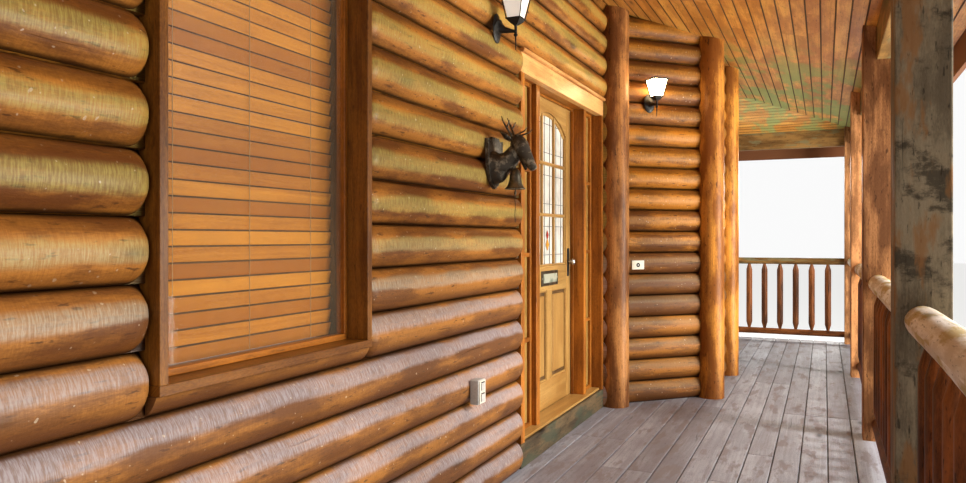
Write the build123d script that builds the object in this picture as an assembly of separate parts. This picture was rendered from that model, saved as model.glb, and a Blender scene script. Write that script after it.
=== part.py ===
"""Covered porch and entrance walls of a log cabin, one STEP file per piece.

Millimetres. +X runs along the porch, +Y goes from the open front to the log wall,
+Z is up, and the origin is at ground level under the middle of the roof.
"""

import os
from math import atan2, ceil, cos, degrees, hypot, pi, radians, sin, sqrt

from build123d import *

# Plan of the porch
bay = 2380
bay_count = 4
near_overhang = 300
eave_overhang = 500
porch_depth = 1860
room_behind_wall = 650

# Log walls
log_pitch = 168
log_bulge = 45
log_back = 185
log_gap = 0.4
log_end_radius = 40
wall_set_back = 85
bay_set_back = 45
corner_post_radius = 105
bay_post_radius = 102
door_post_run = 5000
bay_projection = 630
bay_width = 1120
scribe_sides = 8

# Foundation and deck
deck_height = 600
deck_board = 38
deck_lip = 55
joist_width = 38
joist_depth = 184
joist_spacing = 595
pier_side = 240
sill_inset = 10

# Square posts, beams and railings
post_side = 175
beam_bottom = 2420
beam_thickness = 98
top_rail_radius = 60
top_rail_height = 1000
end_rail_radius = 43
bottom_rail_radius = 40
bottom_rail_height = 110
baluster_radius = 38
baluster_pitch = 190
baluster_point = 70
baluster_sides = 8
tenon_radius = 14
end_post_inset = 130

# Roof
ceiling_low = 2626
ceiling_slope = 0.24
ceiling_board = 20
rafter_depth = 90
rafter_width = 45
rafter_spacing = 600
roof_covering = 30
fascia_depth = 290
fascia_thickness = 30
drip_lip = 20

# Window
window_run = 680
window_width = 960
window_sill_height = 893
casing_board = 28
casing_proud = 5
window_glass_depth = 100
sash_face = 20
sash_depth = 36
glass_thickness = 5
slat_pitch = 47
slat_width = 50
slat_thickness = 3
slat_clearance = 4
slat_tilt = 76
blind_head = 45
blind_head_depth = 40
ladder_cord = 3

# Door unit
unit_to_post = 95
step_height = 140
threshold_height = 16
jamb_left = 55
sidelight_left_width = 320
mullion = 60
door_gap = 5
door_width = 910
door_height = 2056
door_thickness = 44
sidelight_right_width = 240
jamb_right = 45
head_board_height = 112
head_board_lap = 4
head_cap_height = 22
cap_overhang = 20
mullion_recess = 50
door_recess = 150
stop_lip = 12
stop_depth = 18
door_stile = 102
lock_rail_low = 780
lock_rail_high = 940
bottom_rail_top = 180
arch_rise = 120
arch_top_rail = 86
panel_recess = 12
knob_level = 960
knob_set_in = 55
knob_plate_width = 48
knob_plate_height = 200
knob_plate_drop = 105
knob_plate_thickness = 4
letter_width = 330
letter_height = 100
letter_thickness = 5
flap_width = 260
flap_height = 56
flap_proud = 7
hinge_radius = 6
hinge_length = 90
pin_radius = 2.5
pin_clearance = 0.3

# Fittings on the walls
seat = 0.3
lantern_height = 2345
lantern_to_unit = 417
lantern_plate_width = 94
lantern_plate_height = 150
lantern_roof = 10
lantern_plate = 12
lantern_flare_radius = 46
lantern_reach = 105
stem_radius = 8
arm_level = -26
finial_level = -118
lantern_glass_level = 38
lantern_glass_height = 125
lantern_glass_low = 36
lantern_glass_high = 60
lantern_bar = 6
canted_lantern_run = 302
plaque_height = 260
plaque_width = 190
plaque_thickness = 18
plaque_to_unit = 465
plaque_level = 1660
head_sides = 10
limb_sides = 6
bell_radius = 52
bell_height = 104
bell_wall = 4
bell_reach = 122
bell_level = -131
bell_hook = 10
clapper_rod = 3
box_width = 75
box_height = 115
box_depth = 50
box_to_unit = 690
box_level = 570
plate_width = 70
plate_height = 110
plate_depth = 8
plate_run = 198
plate_level = 1080

# Worked out from the sizes above
porch_length = near_overhang + bay * bay_count + eave_overhang
porch_span = eave_overhang + porch_depth + room_behind_wall
near_x = -porch_length / 2
far_x = porch_length / 2
front_y = -porch_span / 2
back_y = porch_span / 2
post_x = [near_x + near_overhang + bay * i for i in range(bay_count + 1)]
post_y = front_y + eave_overhang
wall_y = post_y + porch_depth
near_wall_x = post_x[0] - post_side / 2
far_post_y = back_y - end_post_inset
tall = 2 * (deck_height + ceiling_low)
course_count = ceil((ceiling_low + ceiling_slope * (porch_depth + room_behind_wall)) / log_pitch)
unit_head = (
    step_height + threshold_height + 2 * door_gap + door_height
    - head_board_lap + head_board_height + head_cap_height
)
head_course = ceil(unit_head / log_pitch)

near_post_at = (post_x[0], wall_y - wall_set_back)
door_post_at = (near_wall_x + door_post_run + post_side / 2, wall_y - wall_set_back)
bay_corner_at = (door_post_at[0] + bay_projection, door_post_at[1] - bay_projection)
bay_end_at = (bay_corner_at[0] + bay_width, bay_corner_at[1])
back_end_at = (bay_end_at[0], back_y)


def course_level(course):
    """Height of the bottom of a log course above the ground."""
    return deck_height + course * log_pitch


def ceiling_level(x, y):
    """Underside of the ceiling above a place in plan."""
    run = min(y - post_y, post_x[-1] - x)
    return deck_height + ceiling_low + ceiling_slope * run


def block(x0, x1, y0, y1, z0, z1):
    """A box between two corners."""
    size = (x1 - x0, y1 - y0, z1 - z0)
    return Pos(x0, y0, z0) * Box(*size, align=(Align.MIN, Align.MIN, Align.MIN))


def upright(radius, x, y, z0, z1):
    """A standing cylinder."""
    bottom = (Align.CENTER, Align.CENTER, Align.MIN)
    return Pos(x, y, z0) * Cylinder(radius, z1 - z0, align=bottom)


def plan_prism(points, z0, z1):
    """A flat shape in plan carried up from one level to another."""
    face = make_face(Polyline(*[(x, y, 0) for x, y in points], close=True))
    return Pos(0, 0, z0) * extrude(face, amount=z1 - z0, dir=(0, 0, 1))


def front_slab(offset, thickness):
    """The whole layer of the front roof slope that starts a height above the ceiling."""
    z0 = deck_height + ceiling_low + offset - ceiling_slope * (post_y - front_y)
    z1 = z0 + ceiling_slope * porch_span
    points = [(0, front_y, z0), (0, back_y, z1), (0, back_y, z1 + thickness), (0, front_y, z0 + thickness)]
    outline = make_face(Polyline(*points, close=True))
    return Pos(near_x, 0, 0) * extrude(outline, porch_length, dir=(1, 0, 0))


def end_slab(offset, thickness):
    """The whole layer of the end roof slope that starts a height above the ceiling."""
    z0 = deck_height + ceiling_low + offset - ceiling_slope * (far_x - post_x[-1])
    z1 = z0 + ceiling_slope * porch_length
    points = [(far_x, 0, z0), (near_x, 0, z1), (near_x, 0, z1 + thickness), (far_x, 0, z0 + thickness)]
    return Pos(0, front_y, 0) * extrude(make_face(Polyline(*points, close=True)), porch_span, dir=(0, 1, 0))


# All the space below the ceiling, for cutting walls, posts and beams to its slopes
below_ceiling = front_slab(-tall, tall - seat) & end_slab(-tall, tall - seat)

hip_back_x = far_x - porch_span
front_region = [(near_x, front_y), (far_x, front_y), (hip_back_x, back_y), (near_x, back_y)]
end_region = [(far_x, front_y), (far_x, back_y), (hip_back_x, back_y)]


class Wall:
    """A straight run of log wall between two corner posts.

    Its own frame starts at the first post: x along the wall, y into the wall from the line
    of the logs' grooves, z up from the ground.
    """

    def __init__(self, start, end, set_back):
        self.length = hypot(end[0] - start[0], end[1] - start[1])
        self.turn = atan2(end[1] - start[1], end[0] - start[0])
        self.along = (cos(self.turn), sin(self.turn))
        self.inward = (-sin(self.turn), cos(self.turn))
        self.origin = (start[0] + self.inward[0] * set_back, start[1] + self.inward[1] * set_back)
        self.place = Pos(self.origin[0], self.origin[1], 0) * Rot(0, 0, degrees(self.turn))

    def point(self, x, y):
        """A place in the wall's frame, in the plan of the whole porch."""
        ox, oy = self.origin
        return (ox + self.along[0] * x + self.inward[0] * y, oy + self.along[1] * x + self.inward[1] * y)

    def corner_run(self, other, depth):
        """How far along this wall the planes of two walls meet, at a depth behind the grooves."""
        gap = [other.point(0, depth)[i] - self.point(0, depth)[i] for i in range(2)]
        across = gap[0] * other.inward[0] + gap[1] * other.inward[1]
        return across / (self.along[0] * other.inward[0] + self.along[1] * other.inward[1])

    def logs(self, x0, x1, first, last, ends=("cut", "cut"), back_x0=None, back_x1=None):
        """D-shaped logs of a range of courses, with rounded or cut ends."""
        back_x0 = x0 if back_x0 is None else back_x0
        back_x1 = x1 if back_x1 is None else back_x1
        low = min(x0, back_x0) - 1
        high = max(x1, back_x1) + 1
        corners = [(x0, -log_bulge), (x1, -log_bulge), (back_x1, log_back), (back_x0, log_back)]
        outline = make_face(Polyline(*[(x, y, 0) for x, y in corners], close=True))
        rounded = [
            vertex
            for end, vertex_x in zip(ends, (x0, x1))
            for vertex in outline.vertices()
            if end == "round" and abs(vertex.X - vertex_x) < 1 and vertex.Y < 0
        ]
        if rounded:
            outline = fillet(rounded, log_end_radius)
        footprint = extrude(outline, tall, dir=(0, 0, 1))
        solids = []
        for course in range(first, last):
            z0 = course_level(course) + log_gap / 2
            z1 = course_level(course + 1) - log_gap / 2
            front = ThreePointArc((low, 0, z0), (low, -log_bulge, (z0 + z1) / 2), (low, 0, z1))
            back = Polyline((low, 0, z1), (low, log_back, z1), (low, log_back, z0), (low, 0, z0))
            log = extrude(make_face(front + back), high - low, dir=(1, 0, 0))
            solids.append(self.place * (log & footprint))
        return solids


front_wall = Wall(near_post_at, door_post_at, wall_set_back)
canted_wall = Wall(door_post_at, bay_corner_at, bay_set_back)
bay_wall = Wall(bay_corner_at, bay_end_at, bay_set_back)
end_wall = Wall(bay_end_at, back_end_at, bay_set_back)

corner_posts = [
    (near_post_at, corner_post_radius),
    (door_post_at, corner_post_radius),
    (bay_corner_at, bay_post_radius),
    (bay_end_at, bay_post_radius),
]


def trim(solids, cut_ceiling=True):
    """Logs cut to the ceiling and hewn flat where they meet the corner posts."""
    trimmed = []
    for solid in solids:
        for (x, y), radius in corner_posts:
            reach = (radius + seat) / cos(pi / scribe_sides)
            solid = solid - Pos(x, y, 0) * extrude(RegularPolygon(reach, scribe_sides), tall, dir=(0, 0, 1))
        if cut_ceiling:
            solid = solid & below_ceiling
        trimmed += [piece for piece in solid.solids() if piece.volume > 1000]
    return trimmed


# Places along the front wall, measured from the near corner post
window_x0 = window_run
window_x1 = window_run + window_width
unit_width = (
    jamb_left + sidelight_left_width + mullion + door_gap + door_width
    + door_gap + mullion + sidelight_right_width + jamb_right
)
unit_x1 = front_wall.length - unit_to_post
unit_x0 = unit_x1 - unit_width
head_level = course_level(head_course)
window_sill_level = deck_height + window_sill_height
sill_course = int(window_sill_height // log_pitch)
step_level = deck_height + step_height


def build_walls():
    """All the log walls, split beside, below and over the openings."""
    wall_end = front_wall.corner_run(canted_wall, log_back)
    canted_start = canted_wall.corner_run(front_wall, log_back)
    canted_end = canted_wall.corner_run(bay_wall, log_back)
    bay_start = bay_wall.corner_run(canted_wall, log_back)
    bay_end = bay_wall.corner_run(end_wall, log_back)
    end_start = end_wall.corner_run(bay_wall, log_back)
    strip = front_wall.logs(window_x0, window_x1, sill_course, sill_course + 1)
    level = block(near_x, far_x, front_y, back_y, 0, window_sill_level - seat)
    return {
        "front_wall_below_window": trim(
            front_wall.logs(0, unit_x0, 0, sill_course, ("cut", "round"))
            + [piece & level for piece in strip]
        ),
        "front_wall_left": trim(
            front_wall.logs(0, window_x0, sill_course, head_course, ("cut", "round"))
        ),
        "front_wall_middle": trim(
            front_wall.logs(window_x1, unit_x0, sill_course, head_course, ("round", "round"))
        ),
        "front_wall_right": trim(
            front_wall.logs(unit_x1, front_wall.length, 0, head_course, back_x1=wall_end)
        ),
        "front_wall_over_openings": trim(
            front_wall.logs(0, front_wall.length, head_course, course_count, back_x1=wall_end)
        ),
        "canted_wall": trim(
            canted_wall.logs(
                0, canted_wall.length, 0, course_count, back_x0=canted_start, back_x1=canted_end
            )
        ),
        "bay_front_wall": trim(
            bay_wall.logs(0, bay_wall.length, 0, course_count, back_x0=bay_start, back_x1=bay_end)
        ),
        "end_wall": trim(end_wall.logs(0, end_wall.length, 0, course_count, back_x0=end_start)),
    }


def build_corner_posts():
    """Round log posts where the walls turn, standing on the deck."""
    posts = [upright(radius, x, y, deck_height, tall) & below_ceiling for (x, y), radius in corner_posts]
    return {"wall_corner_posts": posts}


def wall_line(depth):
    """The face of the walls in plan, from the near end to the back, at a depth behind the grooves."""
    first = front_wall.point(-post_side / 2, depth)
    last = end_wall.point(end_wall.length, depth)
    turns = [
        front_wall.point(front_wall.corner_run(canted_wall, depth), depth),
        canted_wall.point(canted_wall.corner_run(bay_wall, depth), depth),
        bay_wall.point(bay_wall.corner_run(end_wall, depth), depth),
    ]
    return [first] + turns + [last]


def build_foundation():
    """Masonry wall under the log walls, the deck's piers and its framing."""
    outside = wall_line(sill_inset)
    inside = wall_line(log_back)
    foundation = plan_prism(outside + inside[::-1], 0, deck_height - seat)
    joist_top = deck_height - deck_board
    joist_bottom = joist_top - joist_depth
    rim_y = post_y - post_side / 2 - deck_lip + joist_width
    deck_far_x = post_x[-1] + post_side / 2 + deck_lip
    pier_at = [(x, post_y) for x in post_x]
    pier_at.append((post_x[-1], far_post_y))
    half = pier_side / 2
    piers = [block(x - half, x + half, y - half, y + half, 0, joist_bottom - seat) for x, y in pier_at]
    deck_near_x = near_wall_x - deck_lip
    beam = block(deck_near_x, deck_far_x, rim_y - joist_width, rim_y, joist_bottom, joist_top - seat)
    end_rim = block(
        deck_far_x - joist_width, deck_far_x, rim_y + seat, back_y, joist_bottom, joist_top - seat
    )
    frame = [beam, end_rim]
    clear_of_wall = plan_prism(
        [(deck_near_x, rim_y + seat)] + wall_line(sill_inset - seat)
        + [(deck_far_x - joist_width - seat, back_y), (deck_far_x - joist_width - seat, rim_y + seat)],
        0,
        tall,
    )
    count = int((deck_far_x - joist_width - deck_near_x) // joist_spacing)
    for i in range(count + 1):
        x = deck_near_x + i * joist_spacing
        joist = block(x, x + joist_width, rim_y, back_y, joist_bottom, joist_top - seat)
        frame += (joist & clear_of_wall).solids()
    return {"foundation": [foundation], "deck_piers": piers, "deck_frame": frame}


def build_deck():
    """Floor of the porch in three convex plates that meet between two boards."""
    x0 = near_wall_x - deck_lip
    x1 = post_x[-1] + post_side / 2 + deck_lip
    y0 = post_y - post_side / 2 - deck_lip
    z0 = deck_height - deck_board
    edge = wall_line(sill_inset - seat)
    split = edge[2][1]
    return {
        "deck_front": [block(x0, x1, y0, split, z0, deck_height)],
        "deck_entrance": [
            plan_prism(
                [(x0, split + seat), (edge[2][0] - seat, split + seat), edge[1], edge[0], (x0, edge[0][1])],
                z0,
                deck_height,
            )
        ],
        "deck_end": [block(edge[3][0], x1, split + seat, back_y, z0, deck_height)],
    }


def notched_post(x, y, open_x=False, open_y=True):
    """Square post whose inner part runs up past the beam that rests in its notch."""
    half = post_side / 2
    notch_z = deck_height + beam_bottom
    post = block(x - half, x + half, y - half, y + half, deck_height, tall) & below_ceiling
    if open_y:
        post -= block(x - half, x + half, y - half, y - half + beam_thickness + seat, notch_z, tall)
    if open_x:
        post -= block(x + half - beam_thickness - seat, x + half, y - half, y + half, notch_z, tall)
    return post


def build_posts_and_beams():
    """The six square posts and the two beams that they carry."""
    half = post_side / 2
    posts = [notched_post(x, post_y) for x in post_x[:-1]]
    posts.append(notched_post(post_x[-1], post_y, open_x=True))
    posts.append(notched_post(post_x[-1], far_post_y, open_x=True, open_y=False))
    z0 = deck_height + beam_bottom
    beam_y = post_y - half
    front = block(near_wall_x, post_x[-1] + half, beam_y, beam_y + beam_thickness, z0, tall)
    end = block(
        post_x[-1] + half - beam_thickness, post_x[-1] + half,
        beam_y + beam_thickness + seat, back_y, z0, tall,
    )
    return {
        "porch_posts": posts,
        "front_beam": [front & below_ceiling],
        "end_beam": [end & below_ceiling],
    }


def rail(radius, length, level):
    """A round rail along X, centred on the middle of its bay."""
    return Pos(0, 0, level) * Rot(0, 90, 0) * Cylinder(radius, length)


def railing_panel(post_spacing, radius):
    """Peeled log railing: two rails, and the hewn balusters pointed into them."""
    length = post_spacing - post_side - 2 * seat
    low = deck_height + bottom_rail_height
    high = deck_height + top_rail_height
    z0 = low + bottom_rail_radius + seat
    z1 = high - radius - seat
    stations = [
        (z0, tenon_radius),
        (z0 + baluster_point, baluster_radius),
        (z1 - baluster_point, baluster_radius),
        (z1, tenon_radius),
    ]
    baluster = loft([Pos(0, 0, z) * RegularPolygon(r, baluster_sides) for z, r in stations], ruled=True)
    count = int(length // baluster_pitch)
    spacing = length / (count + 1)
    panel = [rail(radius, length, high), rail(bottom_rail_radius, length, low)]
    panel += [Pos(-length / 2 + i * spacing, 0, 0) * baluster for i in range(1, count + 1)]
    return panel


def build_railings():
    """One panel in each front bay and one at the far end."""
    parts = {}
    for i in range(bay_count):
        middle = (post_x[i] + post_x[i + 1]) / 2
        place = Pos(middle, post_y, 0)
        parts[f"front_railing_{i + 1}"] = [place * piece for piece in railing_panel(bay, top_rail_radius)]
    place = Pos(post_x[-1], (post_y + far_post_y) / 2, 0) * Rot(0, 0, 90)
    parts["end_railing"] = [place * piece for piece in railing_panel(far_post_y - post_y, end_rail_radius)]
    return parts


def strip_in(region, x0, x1, y0, y1, slab):
    """A straight strip of a roof layer, kept inside a region of the plan."""
    strip = block(x0, x1, y0, y1, 0, tall) & plan_prism(region, 0, tall)
    return [piece for solid in strip.solids() for piece in (solid & slab).solids()]


def build_roof():
    """Ceilings, rafters, covering and the boards at the roof's edges."""
    rafter_base = ceiling_board + seat
    cover_base = rafter_base + rafter_depth + seat
    inner_front = front_y + drip_lip + fascia_thickness + seat
    inner_far = far_x - drip_lip - fascia_thickness - seat
    inner_near = near_x + drip_lip + fascia_thickness + seat
    inner_back = back_y - fascia_thickness - seat
    inside = block(inner_near, inner_far, inner_front, inner_back, 0, tall)
    hip_room = (rafter_width / 2 + seat) * sqrt(2)
    jack_front = [
        (near_x, front_y), (far_x - hip_room, front_y), (hip_back_x - hip_room, back_y), (near_x, back_y)
    ]
    jack_end = [(far_x, front_y + hip_room), (far_x, back_y), (hip_back_x + hip_room, back_y)]
    front_layer = front_slab(rafter_base, rafter_depth)
    end_layer = end_slab(rafter_base, rafter_depth)
    rafters = []
    for i in range(int((inner_far - inner_near) // rafter_spacing) + 1):
        x = inner_near + i * rafter_spacing
        rafters += strip_in(jack_front, x, x + rafter_width, inner_front, inner_back, front_layer)
    for i in range(int((inner_back - inner_front) // rafter_spacing) + 1):
        y = inner_back - i * rafter_spacing
        rafters += strip_in(jack_end, near_x, inner_far, y - rafter_width, y, end_layer)
    half = rafter_width / 2
    hip = Pos(far_x, front_y, 0) * Rot(0, 0, 135) * block(0, 2 * porch_span, -half, half, 0, tall)
    rafters += (hip & inside & front_layer & end_layer).solids()
    ceiling_front = plan_prism(front_region, 0, tall) & front_slab(0, ceiling_board) & inside
    ceiling_end = plan_prism(end_region, 0, tall) & end_slab(0, ceiling_board) & inside
    cover_front = plan_prism(front_region, 0, tall) & front_slab(cover_base, roof_covering)
    cover_end = plan_prism(end_region, 0, tall) & end_slab(cover_base, roof_covering)
    under_cover = front_slab(-tall, tall + cover_base - seat) & end_slab(-tall, tall + cover_base - seat)
    eave_z = ceiling_level(0, front_y + drip_lip) + cover_base
    outer = (near_x + drip_lip, far_x - drip_lip, front_y + drip_lip)
    t = fascia_thickness
    front_fascia = block(outer[0] + t + seat, outer[1], outer[2], outer[2] + t, eave_z - fascia_depth, tall)
    end_fascia = block(outer[1] - t, outer[1], outer[2] + t + seat, back_y, eave_z - fascia_depth, tall)
    barge_low = front_slab(-ceiling_board * 2, tall)
    barge = block(outer[0], outer[0] + t, outer[2], back_y, 0, tall) & barge_low
    ledger_low = front_slab(0, tall) + end_slab(0, tall)
    ledger = block(outer[0] + t + seat, outer[1] - t - seat, back_y - t, back_y, 0, tall) & ledger_low
    return {
        "ceiling_front": ceiling_front.solids(),
        "ceiling_end": ceiling_end.solids(),
        "rafters": rafters,
        "roof_front": cover_front.solids(),
        "roof_end": cover_end.solids(),
        "front_fascia": [front_fascia & under_cover],
        "end_fascia": [end_fascia & under_cover],
        "near_barge_board": [barge & under_cover],
        "rear_ledger": [ledger & under_cover & block(near_x, far_x, front_y, back_y, 0, tall)],
    }


def frame_ring(x0, x1, z0, z1, board, y0, y1):
    """Four boards round an opening, in the front wall's frame."""
    outer = block(x0, x1, y0, y1, z0, z1)
    return outer - block(x0 + board, x1 - board, y0 - 1, y1 + 1, z0 + board, z1 - board)


def build_window():
    """Boxed casing, sash, glass and the slatted wooden blind behind it."""
    x0 = window_x0 + seat
    x1 = window_x1 - seat
    z0 = window_sill_level
    z1 = head_level - seat
    y0 = -log_bulge - casing_proud
    casing = frame_ring(x0, x1, z0, z1, casing_board, y0, log_back)
    inner = casing_board + seat
    sash_y = window_glass_depth - log_bulge - sash_depth / 2
    sash_back = sash_y + sash_depth
    sash = frame_ring(x0 + inner, x1 - inner, z0 + inner, z1 - inner, sash_face, sash_y, sash_back)
    edge = inner + sash_face + seat
    glass_y = sash_y + (sash_depth - glass_thickness) / 2
    glass = block(x0 + edge, x1 - edge, glass_y, glass_y + glass_thickness, z0 + edge, z1 - edge)
    blind_y = sash_back + slat_width / 2 + slat_clearance
    top = z1 - inner
    half = blind_head_depth / 2
    head_rail = block(x0 + inner, x1 - inner, blind_y - half, blind_y + half, top - blind_head, top)
    count = int((top - z0 - inner - blind_head - slat_width / 2) // slat_pitch)
    blind = [head_rail]
    slat_edge = slat_width / 2 * cos(radians(slat_tilt)) + slat_thickness / 2 * sin(radians(slat_tilt))
    for side in (0.18, 0.5, 0.82):
        cord_x = x0 + (x1 - x0) * side
        low = top - blind_head - slat_pitch * count - slat_width / 2
        cord_y = blind_y - slat_edge - seat
        cord_top = top - blind_head - seat
        blind.append(block(cord_x, cord_x + ladder_cord, cord_y - ladder_cord, cord_y, low, cord_top))
    for i in range(count):
        z = top - blind_head - slat_pitch * (i + 1)
        slat = Box(x1 - x0 - 2 * edge, slat_width, slat_thickness)
        blind.append(Pos((x0 + x1) / 2, blind_y, z) * Rot(slat_tilt, 0, 0) * slat)
    place = front_wall.place
    return {
        "window_casing": [place * casing],
        "window_sash": [place * sash],
        "window_glass": [place * glass],
        "window_blind": [place * piece for piece in blind],
    }


# Places across the door unit, along the front wall
left_light_x0 = unit_x0 + jamb_left
left_light_x1 = left_light_x0 + sidelight_left_width
leaf_x0 = left_light_x1 + mullion + door_gap
leaf_x1 = leaf_x0 + door_width
right_light_x0 = leaf_x1 + door_gap + mullion
right_light_x1 = right_light_x0 + sidelight_right_width
unit_front = -log_bulge + 30
mullion_front = unit_front + mullion_recess
leaf_front = unit_front + door_recess
leaf_back = leaf_front + door_thickness
leaf_bottom = step_level + threshold_height + door_gap
leaf_top = leaf_bottom + door_height
opening_head = leaf_top + door_gap
sidelight_sill = step_level + threshold_height
hinge_x = leaf_x0 - door_gap / 2
hinge_y = leaf_back + hinge_radius + 0.5
hinge_levels = [leaf_bottom + 200, leaf_bottom + door_height / 2, leaf_top - 200]


def build_door_frame():
    """Jambs, mullions, head, sidelight glass, step and threshold of the door unit."""
    z1 = head_level - head_cap_height - head_board_height
    z2 = z1 + head_board_height
    near = unit_x0 + seat
    far = unit_x1 - seat
    frame = block(near, far, unit_front, leaf_back, step_level + seat, z2)
    frame -= block(unit_x0, unit_x1, unit_front - 1, mullion_front, z1, z2 + 1)
    for x0, x1 in ((left_light_x0, left_light_x1), (right_light_x0, right_light_x1)):
        frame -= block(x0, x1, unit_front - 1, leaf_back + 1, sidelight_sill, opening_head)
    doorway = block(
        leaf_x0 - door_gap, leaf_x1 + door_gap, unit_front - 1, leaf_back + 1, sidelight_sill, opening_head
    )
    stop = block(
        leaf_x0 - door_gap + stop_lip, leaf_x1 + door_gap - stop_lip, unit_front - 1, leaf_back + 1,
        sidelight_sill, opening_head - stop_lip,
    )
    stop_zone = block(
        unit_x0, unit_x1, leaf_front - door_gap - stop_depth, leaf_front - door_gap, 0, tall
    )
    frame -= doorway - (stop_zone - stop)
    set_in = block(
        left_light_x0, right_light_x1, unit_front - 1, mullion_front, sidelight_sill, opening_head
    )
    frame -= set_in
    head = block(near, far, unit_front, mullion_front - seat, z1 + seat, z2)
    cap = block(near, far, unit_front - cap_overhang, log_back, z2 + seat, head_level - seat)
    step = block(near, far, unit_front, log_back, deck_height + seat, step_level)
    place = front_wall.place
    glass_y = (mullion_front + leaf_front) / 2
    low = sidelight_sill + seat
    high = opening_head - seat
    sheets = [
        block(x0 + seat, x1 - seat, glass_y, glass_y + glass_thickness, low, high)
        for x0, x1 in ((left_light_x0, left_light_x1), (right_light_x0, right_light_x1))
    ]
    return {
        "door_frame": [place * frame],
        "door_head_board": [place * head],
        "door_head_cap": [place * cap],
        "door_step": [place * step],
        "sidelight_glass": [place * sheet for sheet in sheets],
    }


def leaf_opening(inset):
    """Arched outline of the door's glass, drawn in by a distance, as a face across the leaf."""
    x0 = leaf_x0 + door_stile + inset
    x1 = leaf_x1 - door_stile - inset
    z0 = leaf_bottom + lock_rail_high + inset
    spring = leaf_top - arch_top_rail - arch_rise - inset
    crown = leaf_top - arch_top_rail - inset
    sides = Polyline((x0, 0, spring), (x0, 0, z0), (x1, 0, z0), (x1, 0, spring))
    arch = ThreePointArc((x1, 0, spring), ((x0 + x1) / 2, 0, crown), (x0, 0, spring))
    return make_face(sides + arch)


def build_door():
    """The panelled door leaf, its glass and its fittings, which swing into the cabin."""
    leaf = block(leaf_x0, leaf_x1, leaf_front, leaf_back, leaf_bottom, leaf_top)
    leaf -= Pos(0, leaf_front - 1, 0) * extrude(leaf_opening(0), door_thickness + 2, dir=(0, 1, 0))
    panel_x = [leaf_x0 + door_stile, (leaf_x0 + leaf_x1) / 2 - door_stile / 2]
    panel_width = (door_width - 3 * door_stile) / 2
    front_sink = (leaf_front - 1, leaf_front + panel_recess)
    back_sink = (leaf_back - panel_recess, leaf_back + 1)
    for x in panel_x:
        for y0, y1 in (front_sink, back_sink):
            leaf -= block(
                x, x + panel_width, y0, y1, leaf_bottom + bottom_rail_top, leaf_bottom + lock_rail_low
            )
    glass_y = (leaf_front + leaf_back - glass_thickness) / 2
    glass = Pos(0, glass_y, 0) * extrude(leaf_opening(seat), glass_thickness, dir=(0, 1, 0))
    knob_x = leaf_x1 - knob_set_in
    knob_z = leaf_bottom + knob_level
    plate_face = leaf_front - seat - knob_plate_thickness
    back_plate = block(
        knob_x - knob_plate_width / 2, knob_x + knob_plate_width / 2, plate_face, leaf_front - seat,
        knob_z - knob_plate_drop, knob_z - knob_plate_drop + knob_plate_height,
    )
    shape = Polyline((0, 0), (9, 0), (9, 24), (27, 34), (25, 50), (0, 56), close=True)
    knob = Rot(90, 0, 0) * revolve(make_face(shape.moved(Rot(90, 0, 0))), Axis.Z)
    outside = back_plate + Pos(knob_x, plate_face + 1, knob_z) * knob
    inside = Pos(0, leaf_front + leaf_back, 0) * mirror(outside, Plane.XZ)
    slot_z = (lock_rail_low + lock_rail_high) / 2 + leaf_bottom
    middle = (leaf_x0 + leaf_x1) / 2
    letter_face = leaf_front - seat - letter_thickness
    letter = block(
        middle - letter_width / 2, middle + letter_width / 2, letter_face, leaf_front - seat,
        slot_z - letter_height / 2, slot_z + letter_height / 2,
    )
    flap = block(
        middle - flap_width / 2, middle + flap_width / 2, letter_face - flap_proud, letter_face + 1,
        slot_z - flap_height / 2, slot_z + flap_height / 2,
    )
    place = front_wall.place
    return {
        "door_leaf": [place * leaf],
        "door_glass": [place * glass],
        "door_knobs": [place * outside, place * inside],
        "letter_plate": [place * (letter + flap)],
    }


def build_hinges():
    """Butt hinges: a middle knuckle on the leaf, and two knuckles and the pin on the frame."""
    third = hinge_length / 3
    outline = Polyline(
        (0, 0, -hinge_length / 2), (hinge_radius, 0, -hinge_length / 2), (hinge_radius, 0, -third / 2),
        (pin_radius, 0, -third / 2), (pin_radius, 0, third / 2), (hinge_radius, 0, third / 2),
        (hinge_radius, 0, hinge_length / 2), (0, 0, hinge_length / 2), close=True,
    )
    fixed = revolve(make_face(outline), Axis.Z)
    middle = Cylinder(hinge_radius, third - 2 * seat) - Cylinder(pin_radius + pin_clearance, third)
    places = [front_wall.place * Pos(hinge_x, hinge_y, z) for z in hinge_levels]
    return {
        "door_hinges": [place * middle for place in places],
        "frame_hinges": [place * fixed for place in places],
    }


def limb(points, radii, sides=limb_sides, flat=1.0):
    """A tapering limb through points: polygons across its path, wider across X than along it."""
    sections = []
    for i, (point, radius) in enumerate(zip(points, radii)):
        before = Vector(*points[max(i - 1, 0)])
        after = Vector(*points[min(i + 1, len(points) - 1)])
        ahead = (after - before).normalized()
        across = ahead.cross(Vector(0.08, 0.97, 0.22)).normalized()
        plane = Plane(origin=Vector(*point), x_dir=across, z_dir=ahead)
        corners = [
            (radius * cos(2 * pi * (k + 0.5) / sides), radius * flat * sin(2 * pi * (k + 0.5) / sides))
            for k in range(sides)
        ]
        sections.append(plane * make_face(Polyline(*corners, close=True)))
    return loft(sections, ruled=True)


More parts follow.
